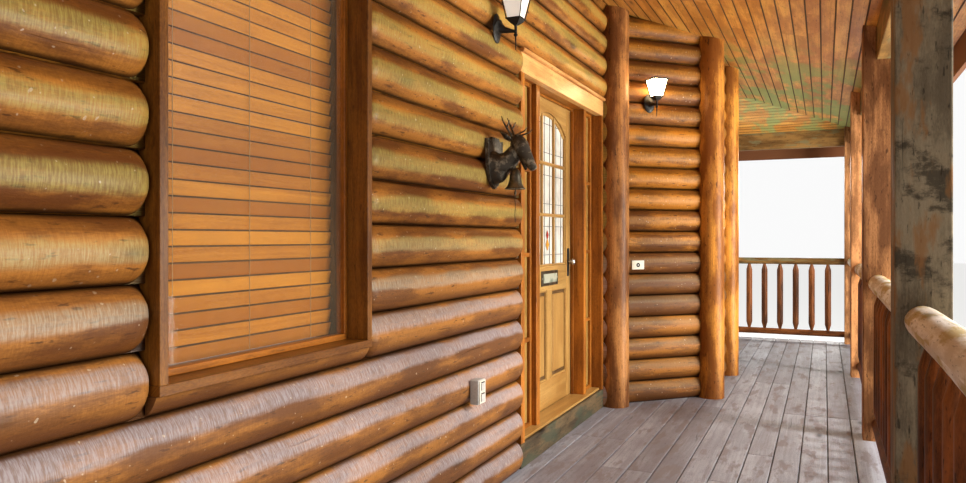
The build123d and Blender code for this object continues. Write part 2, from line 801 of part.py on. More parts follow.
def lantern():
    """Wall lantern in its own frame: wall at y = 0, body towards -y, middle of the plate at z = 0."""
    oval = Ellipse(lantern_plate_width / 2, lantern_plate_height / 2)
    plate = Pos(0, -seat, 0) * Rot(90, 0, 0) * extrude(oval, lantern_plate)
    droop = -arm_level / lantern_reach
    arm = limb(
        [(0, -lantern_plate, 0), (0, -lantern_plate - 30, 30 * -droop), (0, -lantern_reach, arm_level)],
        [lantern_flare_radius, 20, stem_radius - 1], head_sides,
    )
    low = lantern_glass_level
    high = low + lantern_glass_height
    body = Pos(0, -lantern_reach, 0)
    levels = [finial_level, arm_level - 26, arm_level - 18, arm_level, low - 28]
    stem = limb([(0, 0, z) for z in levels], [2.5, 4, 12, stem_radius, stem_radius], head_sides)
    cup = loft([Plane.XY.offset(low - 34) * Rectangle(18, 18), Plane.XY.offset(low - 4) * Rectangle(72, 72)])
    stem = body * (stem + cup)
    rim = lantern_glass_low + lantern_bar
    base = body * block(-rim, rim, -rim, rim, low - 4, low)
    eave = lantern_glass_high + lantern_bar + 3
    roof = body * block(-eave, eave, -eave, eave, high + seat, high + seat + lantern_roof)
    roof += body * loft([
        Plane.XY.offset(high + seat + lantern_roof) * Rectangle(2 * eave - 12, 2 * eave - 12),
        Plane.XY.offset(high + seat + 2 * lantern_roof) * Rectangle(20, 20),
    ])
    metal = plate + arm + stem + base + roof
    for sx in (-1, 1):
        for sy in (-1, 1):
            foot = Pos(sx * lantern_glass_low, sy * lantern_glass_low - lantern_reach, low - 1)
            head = Pos(sx * lantern_glass_high, sy * lantern_glass_high - lantern_reach, high + 1)
            bar = Rectangle(lantern_bar, lantern_bar)
            metal += loft([foot * bar, head * bar])
    low_side = 2 * (lantern_glass_low - lantern_bar / 2 - seat)
    high_side = 2 * (lantern_glass_high - lantern_bar / 2 - seat)
    glass = body * loft([
        Pos(0, 0, low + seat) * Rectangle(low_side, low_side),
        Pos(0, 0, high) * Rectangle(high_side, high_side),
    ])
    return metal, glass


def deer_bell():
    """Cast deer head on its shield: wall at y = 0, shield's middle at z = 0."""
    half = plaque_width / 2
    top = plaque_height / 2
    side = [(0.45, 1), (0.62, 0.86), (1, 0.92), (0.94, 0), (0.7, -0.62)]
    right = [(half * x, top * z) for x, z in side]
    outline = right + [(0, -top)] + [(-x, z) for x, z in reversed(right)]
    face = make_face(Polyline(*[(x, 0, z) for x, z in outline], close=True))
    shield = Pos(0, -seat, 0) * extrude(face, plaque_thickness, dir=(0, -1, 0))
    neck = limb(
        [(0, -plaque_thickness, -8), (0, -55, -4), (0, -95, 20), (0, -124, 58), (0, -134, 88)],
        [86, 72, 54, 43, 30], head_sides, 0.8,
    )
    chest = limb(
        [(0, -plaque_thickness, -24), (0, -32, -22), (0, -54, -8), (0, -84, 14)],
        [60, 57, 40, 30], head_sides, 1.45,
    )
    skull = limb(
        [(0, -108, 128), (0, -124, 114), (0, -148, 78), (0, -176, 34), (0, -202, -8), (0, -222, -38)],
        [16, 38, 45, 36, 27, 17], head_sides, 0.84,
    )
    jaw = limb([(0, -142, 50), (0, -164, 6), (0, -180, -40)], [26, 18, 8], head_sides, 0.62)
    cast = shield + neck + chest + skull + jaw
    for s in (-1, 1):
        ear = [(s * 24, -112, 104), (s * 50, -106, 130), (s * 70, -98, 154)]
        cast += limb(ear, [10, 18, 3], limb_sides, 0.4)
        antler_foot = [(s * 14, -114, 122), (s * 24, -102, 148), (s * 34, -88, 174)]
        antler_tip = [(s * 40, -74, 202), (s * 37, -64, 230)]
        cast += limb(antler_foot + antler_tip, [8, 6.5, 5.5, 4.5, 2])
        cast += limb([(s * 32, -90, 170), (s * 38, -102, 190), (s * 40, -108, 208)], [5, 4, 2])
        brow = [(s * 17, -116, 124), (s * 25, -148, 137), (s * 31, -180, 148), (s * 33, -200, 166)]
        cast += limb(brow, [5.5, 4.5, 4, 2])
    return cast


def bell():
    """The bell, hung by its crown below the neck, with the clapper and the wire pull."""
    top = bell_height + bell_hook
    outside = [(0, top), (4, top), (4, bell_height), (24, bell_height - 12), (34, 30)]
    crown = bell_height - 24
    inside = [(bell_radius - bell_wall, 0), (30 - bell_wall, 34), (20, crown), (0, crown)]
    outline = make_face(Polyline(*outside, (bell_radius, 0), *inside, close=True).moved(Rot(90, 0, 0)))
    drop = [(0, 0, crown - seat), (0, 0, 0), (0, 0, -8), (0, 0, -20), (0, 0, -28)]
    clapper = limb(drop, [clapper_rod, clapper_rod, 6, 7, 4])
    for s in (-1, 1):
        wire = [(0, 0, -27), (s * 9, 0, -50), (s * 1, 0, -86), (s * 10, 0, -124), (0, 0, -165)]
        clapper += limb(wire, [1.4] * 5, 4)
    return revolve(outline, Axis.Z), clapper


def build_fittings():
    """Lanterns, bell with its bracket, outlet box and switch plate."""
    metal, glass = lantern()
    face = -log_bulge
    parts = {}
    front_run = unit_x0 - lantern_to_unit
    for name, wall, run in (("front", front_wall, front_run), ("canted", canted_wall, canted_lantern_run)):
        place = wall.place * Pos(run, face, deck_height + lantern_height)
        parts[f"{name}_lantern"] = [place * metal]
        parts[f"{name}_lantern_glass"] = [place * glass]
    z = deck_height + plaque_level
    plaque_run = unit_x0 - plaque_to_unit
    box_run = unit_x0 - box_to_unit
    parts["deer_head"] = [front_wall.place * Pos(plaque_run, face, z) * deer_bell()]
    cup, clapper = bell()
    hang = front_wall.place * Pos(plaque_run, face - bell_reach, z + bell_level)
    parts["bell"] = [hang * cup]
    parts["bell_clapper"] = [hang * clapper]
    switch_z = deck_height + plate_level
    switch = block(
        plate_run - plate_width / 2, plate_run + plate_width / 2, face - plate_depth - seat, face - seat,
        switch_z - plate_height / 2, switch_z + plate_height / 2,
    )
    parts["switch_plate"] = [canted_wall.place * switch]
    box_z = deck_height + box_level
    outlet = block(
        box_run - box_width / 2, box_run + box_width / 2, face - box_depth - seat, face - seat,
        box_z - box_height / 2, box_z + box_height / 2,
    )
    parts["outlet_box"] = [front_wall.place * outlet]
    return parts


def main():
    """Write each piece to its own STEP file."""
    os.makedirs("parts", exist_ok=True)
    parts = {}
    for build in (
        build_foundation, build_deck, build_walls, build_corner_posts, build_posts_and_beams,
        build_railings, build_roof, build_window, build_door_frame, build_door, build_hinges,
        build_fittings,
    ):
        parts.update(build())
    for name, shapes in parts.items():
        solids = [solid for shape in shapes for solid in shape.solids()]
        shape = solids[0] if len(solids) == 1 else Compound(children=solids)
        export_step(shape, f"parts/{name}.step")


main()
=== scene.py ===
"""Finished look of a covered log cabin porch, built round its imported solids.

Metres. +X runs along the porch, +Y goes from the open front to the log wall, +Z is up.
"""

import logging
import math
import random
from dataclasses import dataclass, field, replace
from enum import Enum
from typing import Callable, Sequence

import bmesh
import bpy
from mathutils import Matrix, Vector, noise


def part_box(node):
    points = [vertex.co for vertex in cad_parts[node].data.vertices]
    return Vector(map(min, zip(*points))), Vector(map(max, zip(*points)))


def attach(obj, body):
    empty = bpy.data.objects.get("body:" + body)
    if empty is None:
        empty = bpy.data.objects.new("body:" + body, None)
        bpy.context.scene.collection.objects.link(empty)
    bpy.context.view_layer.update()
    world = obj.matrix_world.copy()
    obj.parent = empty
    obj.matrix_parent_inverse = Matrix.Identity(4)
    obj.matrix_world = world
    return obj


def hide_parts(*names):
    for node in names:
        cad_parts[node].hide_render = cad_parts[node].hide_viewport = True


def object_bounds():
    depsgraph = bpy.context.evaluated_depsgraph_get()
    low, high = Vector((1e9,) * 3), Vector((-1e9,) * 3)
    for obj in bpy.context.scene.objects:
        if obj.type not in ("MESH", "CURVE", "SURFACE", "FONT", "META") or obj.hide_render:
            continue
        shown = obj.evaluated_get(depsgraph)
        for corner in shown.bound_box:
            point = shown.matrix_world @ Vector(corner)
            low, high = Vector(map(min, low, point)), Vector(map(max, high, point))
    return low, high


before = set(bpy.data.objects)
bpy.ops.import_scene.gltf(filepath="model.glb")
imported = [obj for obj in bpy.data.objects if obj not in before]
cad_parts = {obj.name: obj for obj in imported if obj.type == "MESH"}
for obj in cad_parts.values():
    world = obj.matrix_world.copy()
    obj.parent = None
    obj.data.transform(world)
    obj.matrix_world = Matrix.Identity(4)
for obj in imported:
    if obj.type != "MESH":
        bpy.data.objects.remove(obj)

log = logging.getLogger("porch")
Point = tuple[float, float, float]
Colour = tuple[float, float, float]
Mesh = bmesh.types.BMesh
CAD_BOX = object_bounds()


class Axis(Enum):
    """The axis that a piece's grain follows."""

    X = 0
    Y = 1
    Z = 2


class End(Enum):
    """How a wall log ends."""

    CUT = "cut"
    ROUND = "round"


# Shader maths


@dataclass(frozen=True)
class Value:
    """A shader socket that takes part in sums."""

    shader: "Shader"
    socket: object

    def _math(self, operation: str, *terms: object) -> "Value":
        """Add a Math node for an operation on terms."""
        return self.shader.node("ShaderNodeMath", {"operation": operation}, dict(enumerate(terms)))

    def __add__(self, other: object) -> "Value":
        """Sum."""
        return self._math("ADD", self, other)

    def __sub__(self, other: object) -> "Value":
        """Difference."""
        return self._math("SUBTRACT", self, other)

    def __rsub__(self, other: object) -> "Value":
        """Difference from a number."""
        return self._math("SUBTRACT", other, self)

    def __mul__(self, other: object) -> "Value":
        """Product."""
        return self._math("MULTIPLY", self, other)

    __radd__ = __add__
    __rmul__ = __mul__

    def step(self, low: float, high: float, start: float = 0.0, end: float = 1.0) -> "Value":
        """Smooth step from start to end as the value goes from low to high."""
        inputs = {0: self, 1: low, 2: high, 3: start, 4: end}
        return self.shader.node("ShaderNodeMapRange", {"interpolation_type": "SMOOTHSTEP"}, inputs)


class Shader:
    """A material's node tree with one method that makes nodes."""

    def __init__(self, name: str) -> None:
        """Start a material with an empty surface.

        Args:
            name: the material's name.
        """
        self.material = bpy.data.materials.new(name)
        self.material.use_nodes = True
        self.tree = self.material.node_tree
        self.tree.nodes.clear()
        self.output = self.tree.nodes.new("ShaderNodeOutputMaterial")
        self.surface = self.tree.nodes.new("ShaderNodeBsdfPrincipled")
        self.tree.links.new(self.surface.outputs[0], self.output.inputs[0])

    def node(self, kind: str, settings: dict, inputs: dict, output: object = 0) -> Value:
        """Make a node.

        Args:
            kind: the node's type.
            settings: its properties, set first.
            inputs: socket name or number to a value or a link.
            output: the socket to return.

        Returns:
            The chosen output.
        """
        made = self.tree.nodes.new(kind)
        for key, setting in settings.items():
            setattr(made, key, setting)
        for key, value in inputs.items():
            self.set(made.inputs[key], value)
        return Value(self, made.outputs[output])

    def set(self, socket: object, value: object) -> None:
        """Link or set one socket.

        Args:
            socket: the input.
            value: a number, a colour or another value.
        """
        if isinstance(value, Value):
            self.tree.links.new(value.socket, socket)
        elif isinstance(value, (tuple, list)) and len(socket.default_value) == 4 and len(value) == 3:
            socket.default_value = (*value, 1.0)
        else:
            socket.default_value = value

    def finish(self, **inputs: object) -> bpy.types.Material:
        """Set the surface's sockets, with spaces in their names as underscores.

        Args:
            **inputs: the sockets' values.

        Returns:
            The finished material.
        """
        for key, value in inputs.items():
            self.set(self.surface.inputs[key.replace("_", " ")], value)
        return self.material

    def mix(self, factor: object, a: object, b: object) -> Value:
        """Mix two colours."""
        return self.node("ShaderNodeMix", {"data_type": "RGBA"}, {0: factor, 6: a, 7: b}, 2)

    def place(self, source: Value, scale: Point, shift: Point = (0, 0, 0)) -> Value:
        """Scale and shift a pattern's coordinates."""
        return self.node("ShaderNodeMapping", {}, {0: source, 1: shift, 3: scale})

    def noise(self, at: Value, scale: float, detail: float = 3.0, rough: float = 0.5) -> Value:
        """Noise from 0 to 1."""
        inputs = {"Vector": at, "Scale": scale, "Detail": detail, "Roughness": rough}
        return self.node("ShaderNodeTexNoise", {}, inputs)

    def cells(self, at: Value, scale: float, output: str = "Distance") -> Value:
        """Cell pattern."""
        return self.node("ShaderNodeTexVoronoi", {}, {"Vector": at, "Scale": scale}, output)

    def grain(self) -> Value:
        """The piece's own grain map: along the grain, then across, in metres."""
        return self.node("ShaderNodeUVMap", {"uv_map": "grain"}, {})

    def tone(self) -> Value:
        """The piece's own shade, from 0 to 1."""
        return self.node("ShaderNodeAttribute", {"attribute_name": "tone"}, {}, "Fac")

    def solid(self) -> Value:
        """Object coordinates."""
        return self.node("ShaderNodeTexCoord", {}, {}, "Object")

    def axes(self, at: Value) -> tuple[Value, Value, Value]:
        """Split a vector."""
        outputs = self.node("ShaderNodeSeparateXYZ", {}, {0: at}).socket.node.outputs
        return tuple(Value(self, outputs[i]) for i in range(3))

    def bump(self, height: Value, depth: float) -> Value:
        """Normal from a height of a depth in metres."""
        return self.node("ShaderNodeBump", {}, {"Height": height, "Distance": depth, "Strength": 1.0})


GRAIN_CONTRAST = 0.8


def shade(colour: Colour, share: float) -> Colour:
    """A darker or lighter shade of a colour."""
    return tuple(min(1.0, part * share) for part in colour)


class Finish:
    """Base of the finishes: a material is made once for each."""

    made: dict = {}

    def material(self) -> bpy.types.Material:
        """The finish's material.

        Returns:
            The material, made at the first call.
        """
        if self not in Finish.made:
            Finish.made[self] = self.build(Shader(self.name))
        return Finish.made[self]


@dataclass(frozen=True)
class Wood(Finish):
    """Stained or weathered wood with grain, knots and drying cracks."""

    name: str
    light: Colour
    dark: Colour
    rough: float = 0.42
    coat: float = 0.0
    knots: float = 0.5
    cracks: float = 0.4
    rings: float = 26.0
    relief: float = 0.0012
    spread: float = 0.35
    stain: Colour | None = None
    stain_share: float = 0.0
    mottle: float = 0.5
    stain_x: tuple[float, float] | None = None
    on_solid: Axis | None = None
    girth: float = 0.0
    # Colours and share of the painted reflection band along a wall log, for the low and the high courses
    painted_sheen_low: Colour = (0.35, 0.33, 0.365)
    painted_sheen_high: Colour = (0.36, 0.29, 0.075)
    painted_sheen_share: float = 0.7
    soot: float = 0.0

    def build(self, s: Shader) -> bpy.types.Material:
        """Make the wood's nodes.

        Args:
            s: the shader to fill.

        Returns:
            The finished material.
        """
        if self.on_solid is None:
            at, tone = s.grain(), s.tone()
        else:
            axes = s.axes(s.solid())
            rest = [axes[i] for i in range(3) if i != self.on_solid.value]
            at = s.node("ShaderNodeCombineXYZ", {}, {0: axes[self.on_solid.value], 1: rest[0] + rest[1]})
            tone = s.noise(s.place(at, (0.4, 3.0, 1.0)), 1.0, 0.0)
        deep = shade(self.dark, 0.22)

        # Broad and blotchy shade, and knots with dark hearts
        broad = s.noise(s.place(at, (0.7, 5.0, 1.0)), 1.6, 3.0)
        blotch = s.noise(s.place(at, (2.2, 8.0, 1.0), (5.0, 3.0, 0.0)), 1.0, 5.0, 0.62)
        knot_at = s.place(at, (2.1, 6.5, 1.0))
        knot_far = s.cells(knot_at, 1.0)
        bare = 1.0 - self.knots * 0.55
        pick = s.axes(s.cells(knot_at, 1.0, "Color"))[0].step(bare, bare + 0.02)
        knot = knot_far.step(0.30, 0.06) * pick
        heart = knot_far.step(0.16, 0.05) * pick

        # Grain lines that bend round the knots, with pores and flecks
        flow = broad * 0.10 + knot * 0.05
        along, across, _ = s.axes(at)
        lines_at = s.node("ShaderNodeCombineXYZ", {}, {0: along * 0.9, 1: across + flow})
        fine = s.noise(s.place(lines_at, (1.2, self.rings * 3.2, 1.0)), 1.0, 4.0, 0.6)
        bands = s.noise(s.place(lines_at, (0.5, self.rings, 1.0)), 1.0, 2.0)
        pores = s.noise(s.place(at, (60.0, 190.0, 1.0)), 1.0, 3.0, 0.7)
        flecks = s.noise(s.place(at, (14.0, 60.0, 1.0), (2.0, 8.0, 0.0)), 1.0, 3.0, 0.6).step(0.60, 0.68)
        grain = bands.step(0.36, 0.64) * 0.3 + fine.step(0.36, 0.64) * 0.35 + pores.step(0.36, 0.64) * 0.35

        # Grain colour, then the tints of the board, its flecks and its knots
        body = s.mix(grain * GRAIN_CONTRAST + (1.0 - GRAIN_CONTRAST) * 0.6, self.dark, self.light)
        clouds = (blotch.step(0.36, 0.62) - 0.5) * self.mottle
        tint = (tone - 0.5) * self.spread + (broad - 0.5) * 0.5 + clouds
        body = s.mix(tint.step(-0.5, 0.30), s.mix(0.85, body, self.dark), body)
        body = s.mix(tint.step(0.1, 0.6, 0.0, 0.4), body, shade(self.light, 1.35))
        body = s.mix(flecks * self.mottle * 0.8, body, deep)
        body = s.mix(knot * 0.55, body, shade(self.dark, 0.55))
        body = s.mix(heart * 0.8, body, deep)

        # Drying cracks along the grain
        split = s.noise(s.place(lines_at, (0.9, 34.0, 1.0), (3.1, 7.7, 0.0)), 1.0, 2.0).step(0.34, 0.28)
        long = s.noise(s.place(at, (0.8, 2.0, 1.0), (9.0, 1.0, 0.0)), 2.0, 1.0).step(0.50, 0.62)
        crack = split * long * self.cracks
        body = s.mix(crack, body, deep)

        # Weathering: black soot and stained patches; round a wall log, painted shade and a painted reflection
        # band
        rough = self.rough + fine * 0.16 - tone * 0.04
        if self.soot:
            black = s.noise(s.place(at, (2.6, 1.6, 1.0), (1.0, 6.0, 0.0)), 1.0, 7.0, 0.68).step(0.50, 0.56)
            body = s.mix(black * self.soot, body, deep)
        if self.stain:
            patch = s.noise(s.place(at, (1.4, 5.0, 1.0), (4.0, 2.0, 0.0)), 2.2, 4.0, 0.6)
            if self.stain_x:
                patch = s.noise(s.place(s.solid(), (0.8, 1.3, 1.0)), 2.3, 6.0, 0.66)
            mask = patch.step(0.62 - self.stain_share * 0.3, 0.70 - self.stain_share * 0.25)
            if self.stain_x:
                mask = mask * s.axes(s.solid())[0].step(*self.stain_x)
            body = s.mix(mask * 0.75, body, self.stain)
            rough = rough + mask * 0.2
        if self.girth:
            body = self.log_shade(s, body, across, blotch)
        height = fine * 0.35 + bands * 0.35 + pores * 0.3 - crack * 1.6 + heart * 0.5
        return s.finish(
            Base_Color=body,
            Roughness=rough,
            Normal=s.bump(height, self.relief),
            Coat_Weight=self.coat,
            Coat_Roughness=0.22,
            Specular_IOR_Level=0.16,
        )

    def log_shade(self, s: Shader, body: Value, across: Value, blotch: Value) -> Value:
        """Painted light round a D-shaped log: painted shade in its grooves, on its underside and on the top
        of a high log, and a painted reflection band along it, with pale specks of dirt.

        Args:
            s: the shader.
            body: the colour so far.
            across: place across the grain.
            blotch: noise that makes the edges uneven.

        Returns:
            The colour with its painted light and shade.
        """
        turn = s.node("ShaderNodeMath", {"operation": "FRACT"}, {0: across * (1.0 / self.girth)})
        high = s.axes(s.solid())[2].step(1.45, 2.0)
        place = turn + high * 0.17 + (blotch - 0.5) * 0.22
        # Band of the painted reflection: upper half of a low log, middle of a high one
        worn_and_sheen = place.step(0.33, 0.40) * place.step(0.60, 0.52)

        # Painted reflection on the varnish: a pale band along the log, bluish on the low logs and olive on
        # the high ones, with fine streaks; the low courses painted darker and browner; pale specks of dirt
        streaks = s.noise(s.place(s.grain(), (210.0, 22.0, 1.0)), 1.0, 3.0, 0.7).step(0.38, 0.62)
        painted_sheen_colour = s.mix(high, self.painted_sheen_low, self.painted_sheen_high)
        body = s.mix((1.0 - high) * 0.35, body, (0.150, 0.078, 0.042))
        body = s.mix(worn_and_sheen * (0.55 + streaks * 0.45) * self.painted_sheen_share, body, painted_sheen_colour)
        specks = s.noise(s.place(s.grain(), (55.0, 55.0, 1.0)), 1.0, 1.0).step(0.71, 0.76)
        body = s.mix(specks * 0.5, body, (0.62, 0.52, 0.38))
        body = s.mix((1.0 - streaks) * 0.22, body, self.dark)

        # Painted shade: dark underside, dark top on the high logs and dark grooves between the logs
        under = turn.step(0.27, 0.06) * (0.85 - high * 0.5)
        body = s.mix(under, body, self.dark)
        face = turn.step(0.748, 0.70)
        top = turn.step(0.36, 0.50) * high * face
        body = s.mix(top * 0.6, body, self.dark)
        grooves = {0: turn.step(0.075, 0.0), 1: turn.step(0.56, 0.62) * face}
        groove = s.node("ShaderNodeMath", {"operation": "MAXIMUM"}, grooves)
        return s.mix(groove * 0.9, body, shade(self.dark, 0.12))


@dataclass(frozen=True)
class Metal(Finish):
    """Cast or forged metal with patches of wear on a slightly pitted skin."""

    name: str
    colour: Colour
    worn_and_sheen: Colour
    rough: float = 0.5
    metallic: float = 0.85
    pits: float = 0.0004
    wear: float = 0.4

    def build(self, s: Shader) -> bpy.types.Material:
        """Make the metal's nodes.

        Args:
            s: the shader to fill.

        Returns:
            The finished material.
        """
        at = s.solid()
        broad = s.noise(at, 22.0, 4.0, 0.6)
        fine = s.noise(at, 260.0, 3.0)
        mask = broad.step(0.66 - self.wear * 0.3, 0.78 - self.wear * 0.2)
        return s.finish(
            Base_Color=s.mix(mask, self.colour, self.worn_and_sheen),
            Roughness=self.rough + fine * 0.2 - mask * 0.1,
            Metallic=self.metallic,
            Normal=s.bump(fine + broad * 0.6, self.pits),
        )


@dataclass(frozen=True)
class Glazing(Finish):
    """Sheet glass: clear, tinted or obscured, faintly dusty."""

    name: str
    colour: Colour
    alpha: float
    rough: float = 0.04
    waves: float = 0.0006
    pattern: float = 0.0
    glow: float = 0.0

    def build(self, s: Shader) -> bpy.types.Material:
        """Make the glass's nodes.

        Args:
            s: the shader to fill.

        Returns:
            The finished material.
        """
        at = s.solid()
        broad = s.noise(at, 3.0, 3.0)
        cloud = s.noise(at, 11.0, 4.0, 0.6)
        tint = s.mix(cloud.step(0.35, 0.75) * self.pattern, self.colour, shade(self.colour, 0.45))
        settings = {
            "Base_Color": tint,
            "Roughness": self.rough + cloud * 0.05,
            "Alpha": self.alpha + (cloud - 0.5) * 0.08,
            "Normal": s.bump(broad + cloud * 0.2, self.waves),
        }
        if self.glow:
            settings["Emission_Color"] = s.mix(broad, self.colour, shade(self.colour, 0.9))
            settings["Emission_Strength"] = self.glow
        return s.finish(**settings)


@dataclass(frozen=True)
class Mineral(Finish):
    """Concrete, shingle grit or plain moulded plastic: a speckled mat surface."""

    name: str
    colour: Colour
    speck: Colour
    grain: float = 60.0
    rough: float = 0.85
    relief: float = 0.0008
    tabs: Axis | None = None
    tab: float = 0.29
    course: float = 0.143

    def build(self, s: Shader) -> bpy.types.Material:
        """Make the surface's nodes.

        Args:
            s: the shader to fill.

        Returns:
            The finished material.
        """
        at = s.solid()
        broad = s.noise(at, 1.7, 5.0, 0.6)
        fine = s.noise(at, self.grain, 3.0, 0.7)
        body = s.mix(fine.step(0.45, 0.7), self.colour, self.speck)
        body = s.mix(broad.step(0.4, 0.75) * 0.4, body, shade(self.colour, 0.6))
        height = fine + broad * 2.0
        if self.tabs:
            axes = s.axes(at)
            eave, up = (axes[0], axes[1]) if self.tabs is Axis.X else (axes[1], axes[0])
            plan = s.node("ShaderNodeCombineXYZ", {}, {0: eave, 1: up})
            sizes = {"Scale": 1.0, "Mortar Size": 0.004, "Brick Width": self.tab, "Row Height": self.course}
            colours = {"Color1": (0.1, 0.1, 0.1), "Color2": (0.9, 0.9, 0.9), "Mortar": (0.5, 0.5, 0.5)}
            pick = s.axes(s.node("ShaderNodeTexBrick", {}, {"Vector": plan, **sizes, **colours}))[0]
            joint = s.node("ShaderNodeTexBrick", {}, {"Vector": plan, **sizes}, "Fac")
            body = s.mix(pick * 0.55, body, shade(self.colour, 1.9))
            body = s.mix(joint * 0.85, body, shade(self.colour, 0.2))
            height = height - joint * 6.0
        return s.finish(
            Base_Color=body, Roughness=self.rough - broad * 0.1, Normal=s.bump(height, self.relief)
        )


LOG_GIRTH = 0.32
LOGS = Wood(
    "varnished_logs", (0.50, 0.200, 0.030), (0.100, 0.030, 0.006), rough=0.42, coat=0.07, knots=0.7,
    cracks=0.95, rings=17.0, relief=0.0032, spread=0.55, mottle=0.95, girth=LOG_GIRTH,
)
# The bay walls' logs get their own darker, more orange copy of the logs' finish with a browner reflection
# band: painted light for how these walls are lit; their duller, more mottled stains are real
BAY_LOGS = Wood(
    "varnished_logs_by_the_lamp", (0.49, 0.180, 0.014), (0.085, 0.026, 0.004), rough=0.48, coat=0.04,
    knots=0.7, cracks=0.9, rings=17.0, relief=0.0032, spread=0.95, mottle=1.0, girth=LOG_GIRTH,
    painted_sheen_low=(0.20, 0.14, 0.055), painted_sheen_high=(0.46, 0.22, 0.040), painted_sheen_share=0.4,
)
CORNER_POST = Wood(
    "dark_corner_post", (0.56, 0.250, 0.075), (0.12, 0.038, 0.010), rough=0.38, coat=0.10, knots=0.5,
    cracks=0.9, rings=14.0, relief=0.0025, mottle=0.8,
)
# The bay's corner posts get a lighter, more orange copy of the darker corner posts' finish: painted light for
# how they are lit
BAY_POST = replace(
    CORNER_POST, name="bay_corner_post_painted_lighter", light=(0.68, 0.29, 0.045), dark=(0.18, 0.052, 0.008), knots=0.6,
    cracks=0.8, mottle=0.9,
)
CASING = Wood(
    "casing_boards", (0.29, 0.110, 0.015), (0.070, 0.021, 0.004), rough=0.32, coat=0.12, knots=0.25,
    cracks=0.1,
)
HEAD_BOARD = Wood(
    "head_board", (0.80, 0.46, 0.18), (0.42, 0.18, 0.050), rough=0.3, coat=0.15, knots=0.4, cracks=0.1,
)
JAMBS = Wood(
    "door_jambs", (0.50, 0.175, 0.022), (0.14, 0.040, 0.006), rough=0.3, coat=0.12, knots=0.25, cracks=0.1,
)
DOOR = Wood(
    "door_wood", (0.56, 0.345, 0.115), (0.26, 0.12, 0.028), rough=0.26, coat=0.18, knots=0.1, cracks=0.05,
    rings=30.0, relief=0.0005, spread=0.3, mottle=0.3,
)
PANEL = Wood(
    "door_panel_wood", (0.17, 0.100, 0.045), (0.070, 0.036, 0.015), rough=0.26, coat=0.18, knots=0.1,
    cracks=0.05, rings=30.0, relief=0.0005,
)
STEP = Wood(
    "step_timber", (0.135, 0.090, 0.046), (0.034, 0.026, 0.018), rough=0.6, knots=0.5, cracks=0.8,
    relief=0.002, stain=(0.055, 0.065, 0.045), stain_share=0.5, mottle=0.9,
)
DECKING = Wood(
    "deck_boards", (0.40, 0.42, 0.49), (0.20, 0.180, 0.205), rough=0.55, knots=0.3, cracks=0.5,
    rings=26.0, relief=0.0009, spread=0.6, stain=(0.23, 0.195, 0.200), stain_share=0.3, mottle=0.35,
)
CEILING = Wood(
    "ceiling_boards", (0.90, 0.46, 0.105), (0.42, 0.155, 0.026), rough=0.36, coat=0.10, knots=0.5,
    cracks=0.1, rings=30.0, relief=0.0006, spread=0.5, stain=(0.25, 0.40, 0.15), stain_share=0.60,
    stain_x=(0.0, 2.0), mottle=0.6,
)
# Dark finish for the ceiling boards' V-joints, and a painted shadow along the blind slats' upper edges
DARK_JOINTS_AND_SHADOW = Wood("dark_joints_and_painted_shadow", (0.15, 0.065, 0.020), (0.060, 0.025, 0.009), knots=0.0, cracks=0.0)
POSTS = Wood(
    "post_timber", (0.60, 0.285, 0.115), (0.115, 0.042, 0.014), rough=0.5, coat=0.06, knots=0.6, cracks=0.9,
    rings=20.0, relief=0.0022, spread=0.5, mottle=0.8,
)
OLD_POST = Wood(
    "weathered_post", (0.25, 0.205, 0.140), (0.085, 0.066, 0.043), rough=0.6, knots=0.5, cracks=1.0,
    rings=20.0, relief=0.003, stain=(0.25, 0.120, 0.045), stain_share=0.4, soot=0.78, mottle=0.9,
)
BEAMS = Wood(
    "beam_timber", (0.30, 0.165, 0.050), (0.095, 0.044, 0.012), rough=0.5, knots=0.6, cracks=0.9,
    rings=20.0, relief=0.0022, stain=(0.17, 0.16, 0.085), stain_share=0.4, mottle=0.8,
)
TOP_RAILS = Wood(
    "peeled_top_rails", (0.98, 0.97, 0.98), (0.58, 0.50, 0.42), rough=0.5, knots=0.6, cracks=0.9,
    rings=15.0, relief=0.0024, spread=0.5, stain=(0.42, 0.30, 0.080), stain_share=0.5, mottle=0.9,
)
BALUSTERS = Wood(
    "peeled_balusters", (0.28, 0.088, 0.022), (0.055, 0.016, 0.005), rough=0.45, coat=0.1, knots=0.8,
    cracks=0.8, rings=15.0, relief=0.0020, spread=0.8, mottle=0.9,
)
RAW = Wood(
    "sawn_framing", (0.52, 0.37, 0.21), (0.33, 0.21, 0.11), rough=0.75, knots=0.6, cracks=0.3,
    on_solid=Axis.Y,
)
FASCIA = Wood(
    "fascia_boards", (0.28, 0.115, 0.048), (0.125, 0.046, 0.020), rough=0.5, knots=0.4, cracks=0.5,
)
BLIND = Wood(
    "blind_slats", (0.78, 0.32, 0.032), (0.42, 0.13, 0.012), rough=0.35, coat=0.10, knots=0.0, cracks=0.0,
    relief=0.0003, spread=1.1, mottle=0.2,
)
TAPE = Mineral("blind_tapes", (0.50, 0.33, 0.15), (0.40, 0.25, 0.11), grain=400.0)
MASONRY = Mineral("cast_footing", (0.40, 0.385, 0.36), (0.27, 0.26, 0.245), grain=90.0, relief=0.002)
SHINGLES = Mineral(
    "roof_shingles", (0.17, 0.155, 0.145), (0.07, 0.066, 0.064), grain=180.0, relief=0.0015, tabs=Axis.X,
)
END_SHINGLES = replace(SHINGLES, name="end_roof_shingles", tabs=Axis.Y)
PLASTIC = Mineral(
    "ivory_plastic", (0.66, 0.61, 0.52), (0.60, 0.55, 0.46), grain=30.0, rough=0.45, relief=0.0001,
)
GREY_BOX = Mineral(
    "grey_cast_box", (0.52, 0.51, 0.50), (0.42, 0.41, 0.40), grain=120.0, rough=0.5, relief=0.0003,
)
